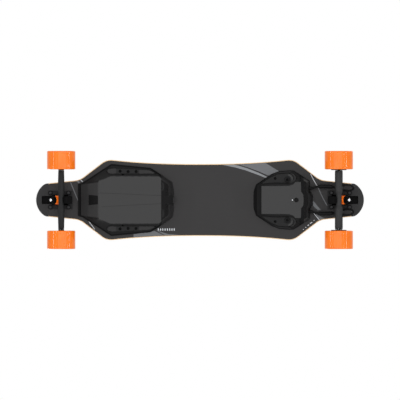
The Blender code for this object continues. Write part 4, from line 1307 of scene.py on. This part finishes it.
def dress_kept_nodes():
    """CAD nodes whose shape is right keep it and take a finished material."""
    looks = {
        "battery_pack": "wrap", "controller_board": "circuit", "power_lead": "cable",
        "charge_socket": "steel", "charge_cap": "guard",
    }
    for name, look in looks.items():
        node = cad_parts[name]
        node.data.materials.clear()
        node.data.materials.append(LOOKS[look])
        bevel = node.modifiers.new("soft_edges", "BEVEL")
        bevel.width = 0.0003
        bevel.segments = 2
        bevel.limit_method = "ANGLE"
        bevel.angle_limit = math.radians(40)


def make_floor():
    """A pale floor seen from above only, so the board also shows from straight underneath."""
    bpy.ops.mesh.primitive_plane_add(size=60, location=(0, 0, -0.0002))
    floor = bpy.context.object
    floor.name = "studio_floor"
    n = Nodes("studio_floor")
    n.set(Roughness=0.6, Specular_IOR_Level=0.2)
    cloud = n.noise(2.0, 2.0)
    n.colour(n.blend(n.spread(cloud, 0.0, 1.0), (0.80, 0.80, 0.79), (0.83, 0.83, 0.82)))
    clear = n.node("BsdfTransparent", "BSDF")
    underside = n.node("NewGeometry", "Backfacing")
    mix = n.tree.nodes.new("ShaderNodeMixShader")
    for socket, source in zip(mix.inputs, (underside, n.shader.outputs["BSDF"], clear)):
        n.link(source, socket)
    n.link(mix.outputs["Shader"], n.tree.nodes["Material Output"].inputs["Surface"])
    floor.data.materials.append(n.material)
    floor.visible_shadow = False
    floor.visible_diffuse = False
    floor.visible_glossy = False


def area_light(name, place, target, size, power):
    light = bpy.data.lights.new(name, "AREA")
    light.shape = "RECTANGLE"
    light.size, light.size_y = size
    light.energy = power
    made = bpy.data.objects.new(name, light)
    made.location = place
    made.rotation_euler = (Vector(target) - Vector(place)).to_track_quat("-Z", "Y").to_euler()
    bpy.context.collection.objects.link(made)


def make_stage():
    world = bpy.data.worlds.new("studio")
    world.use_nodes = True
    background = world.node_tree.nodes["Background"]
    background.inputs["Color"].default_value = (1, 1, 1, 1)
    background.inputs["Strength"].default_value = 1.0
    bpy.context.scene.world = world
    bpy.context.scene.view_settings.view_transform = "Standard"
    make_floor()
    area_light("below_soft", (0, 0, -1.6), (0, 0, 0.08), (2.4, 2.0), 40.5)
    for side in (1, -1):
        area_light(f"below_strip_{side}", (side * 2.3, 0, -0.9), (side * 0.4, 0, 0.06), (2.2, 0.14), 17.0)
        area_light(f"below_line_{side}", (side * 1.74, 0, -1.5), (side * 0.4, 0, 0.04), (2.0, 0.07), 6.0)
    area_light("above_key", (1.2, -1.5, 2.4), (0, 0, 0.08), (1.6, 1.6), 26.0)
    area_light("above_fill", (-1.8, 1.2, 1.8), (0, 0, 0.08), (1.6, 1.6), 12.0)


CAMERA_DISTANCE = 20.0
VIEW_WIDTH = 1.1584


def make_camera():
    """Straight underneath, nose to the left of the picture."""
    camera = bpy.data.cameras.new("below")
    camera.sensor_width = 36.0
    camera.lens = camera.sensor_width * CAMERA_DISTANCE / VIEW_WIDTH
    made = bpy.data.objects.new("below", camera)
    x_right, y_up, z_back = Vector((-1, 0, 0)), Vector((0, 1, 0)), Vector((0, 0, -1))
    turn = Matrix((x_right, y_up, z_back)).transposed().to_4x4()
    made.matrix_world = Matrix.Translation((0, 0, DECK_BOTTOM - CAMERA_DISTANCE)) @ turn
    camera.clip_end = 100.0
    bpy.context.collection.objects.link(made)
    bpy.context.scene.camera = made


def main():
    make_camera()
    make_stage()
    make_deck()
    make_guard("nose_cap", 1)
    make_guard("tail_cap", -1)
    make_grip()
    make_graphics()
    make_battery()
    make_controller()
    for end, name in ENDS:
        make_hanger(end, name)
        make_baseplate(end, name)
        make_backing_plate(end, name)
        make_truck_hardware(end, name)
    for side, label in SIDES:
        make_front_wheel(side, label)
        make_rear_wheel(side, label)
        make_motor_cable(side, label)
    dress_kept_nodes()


main()
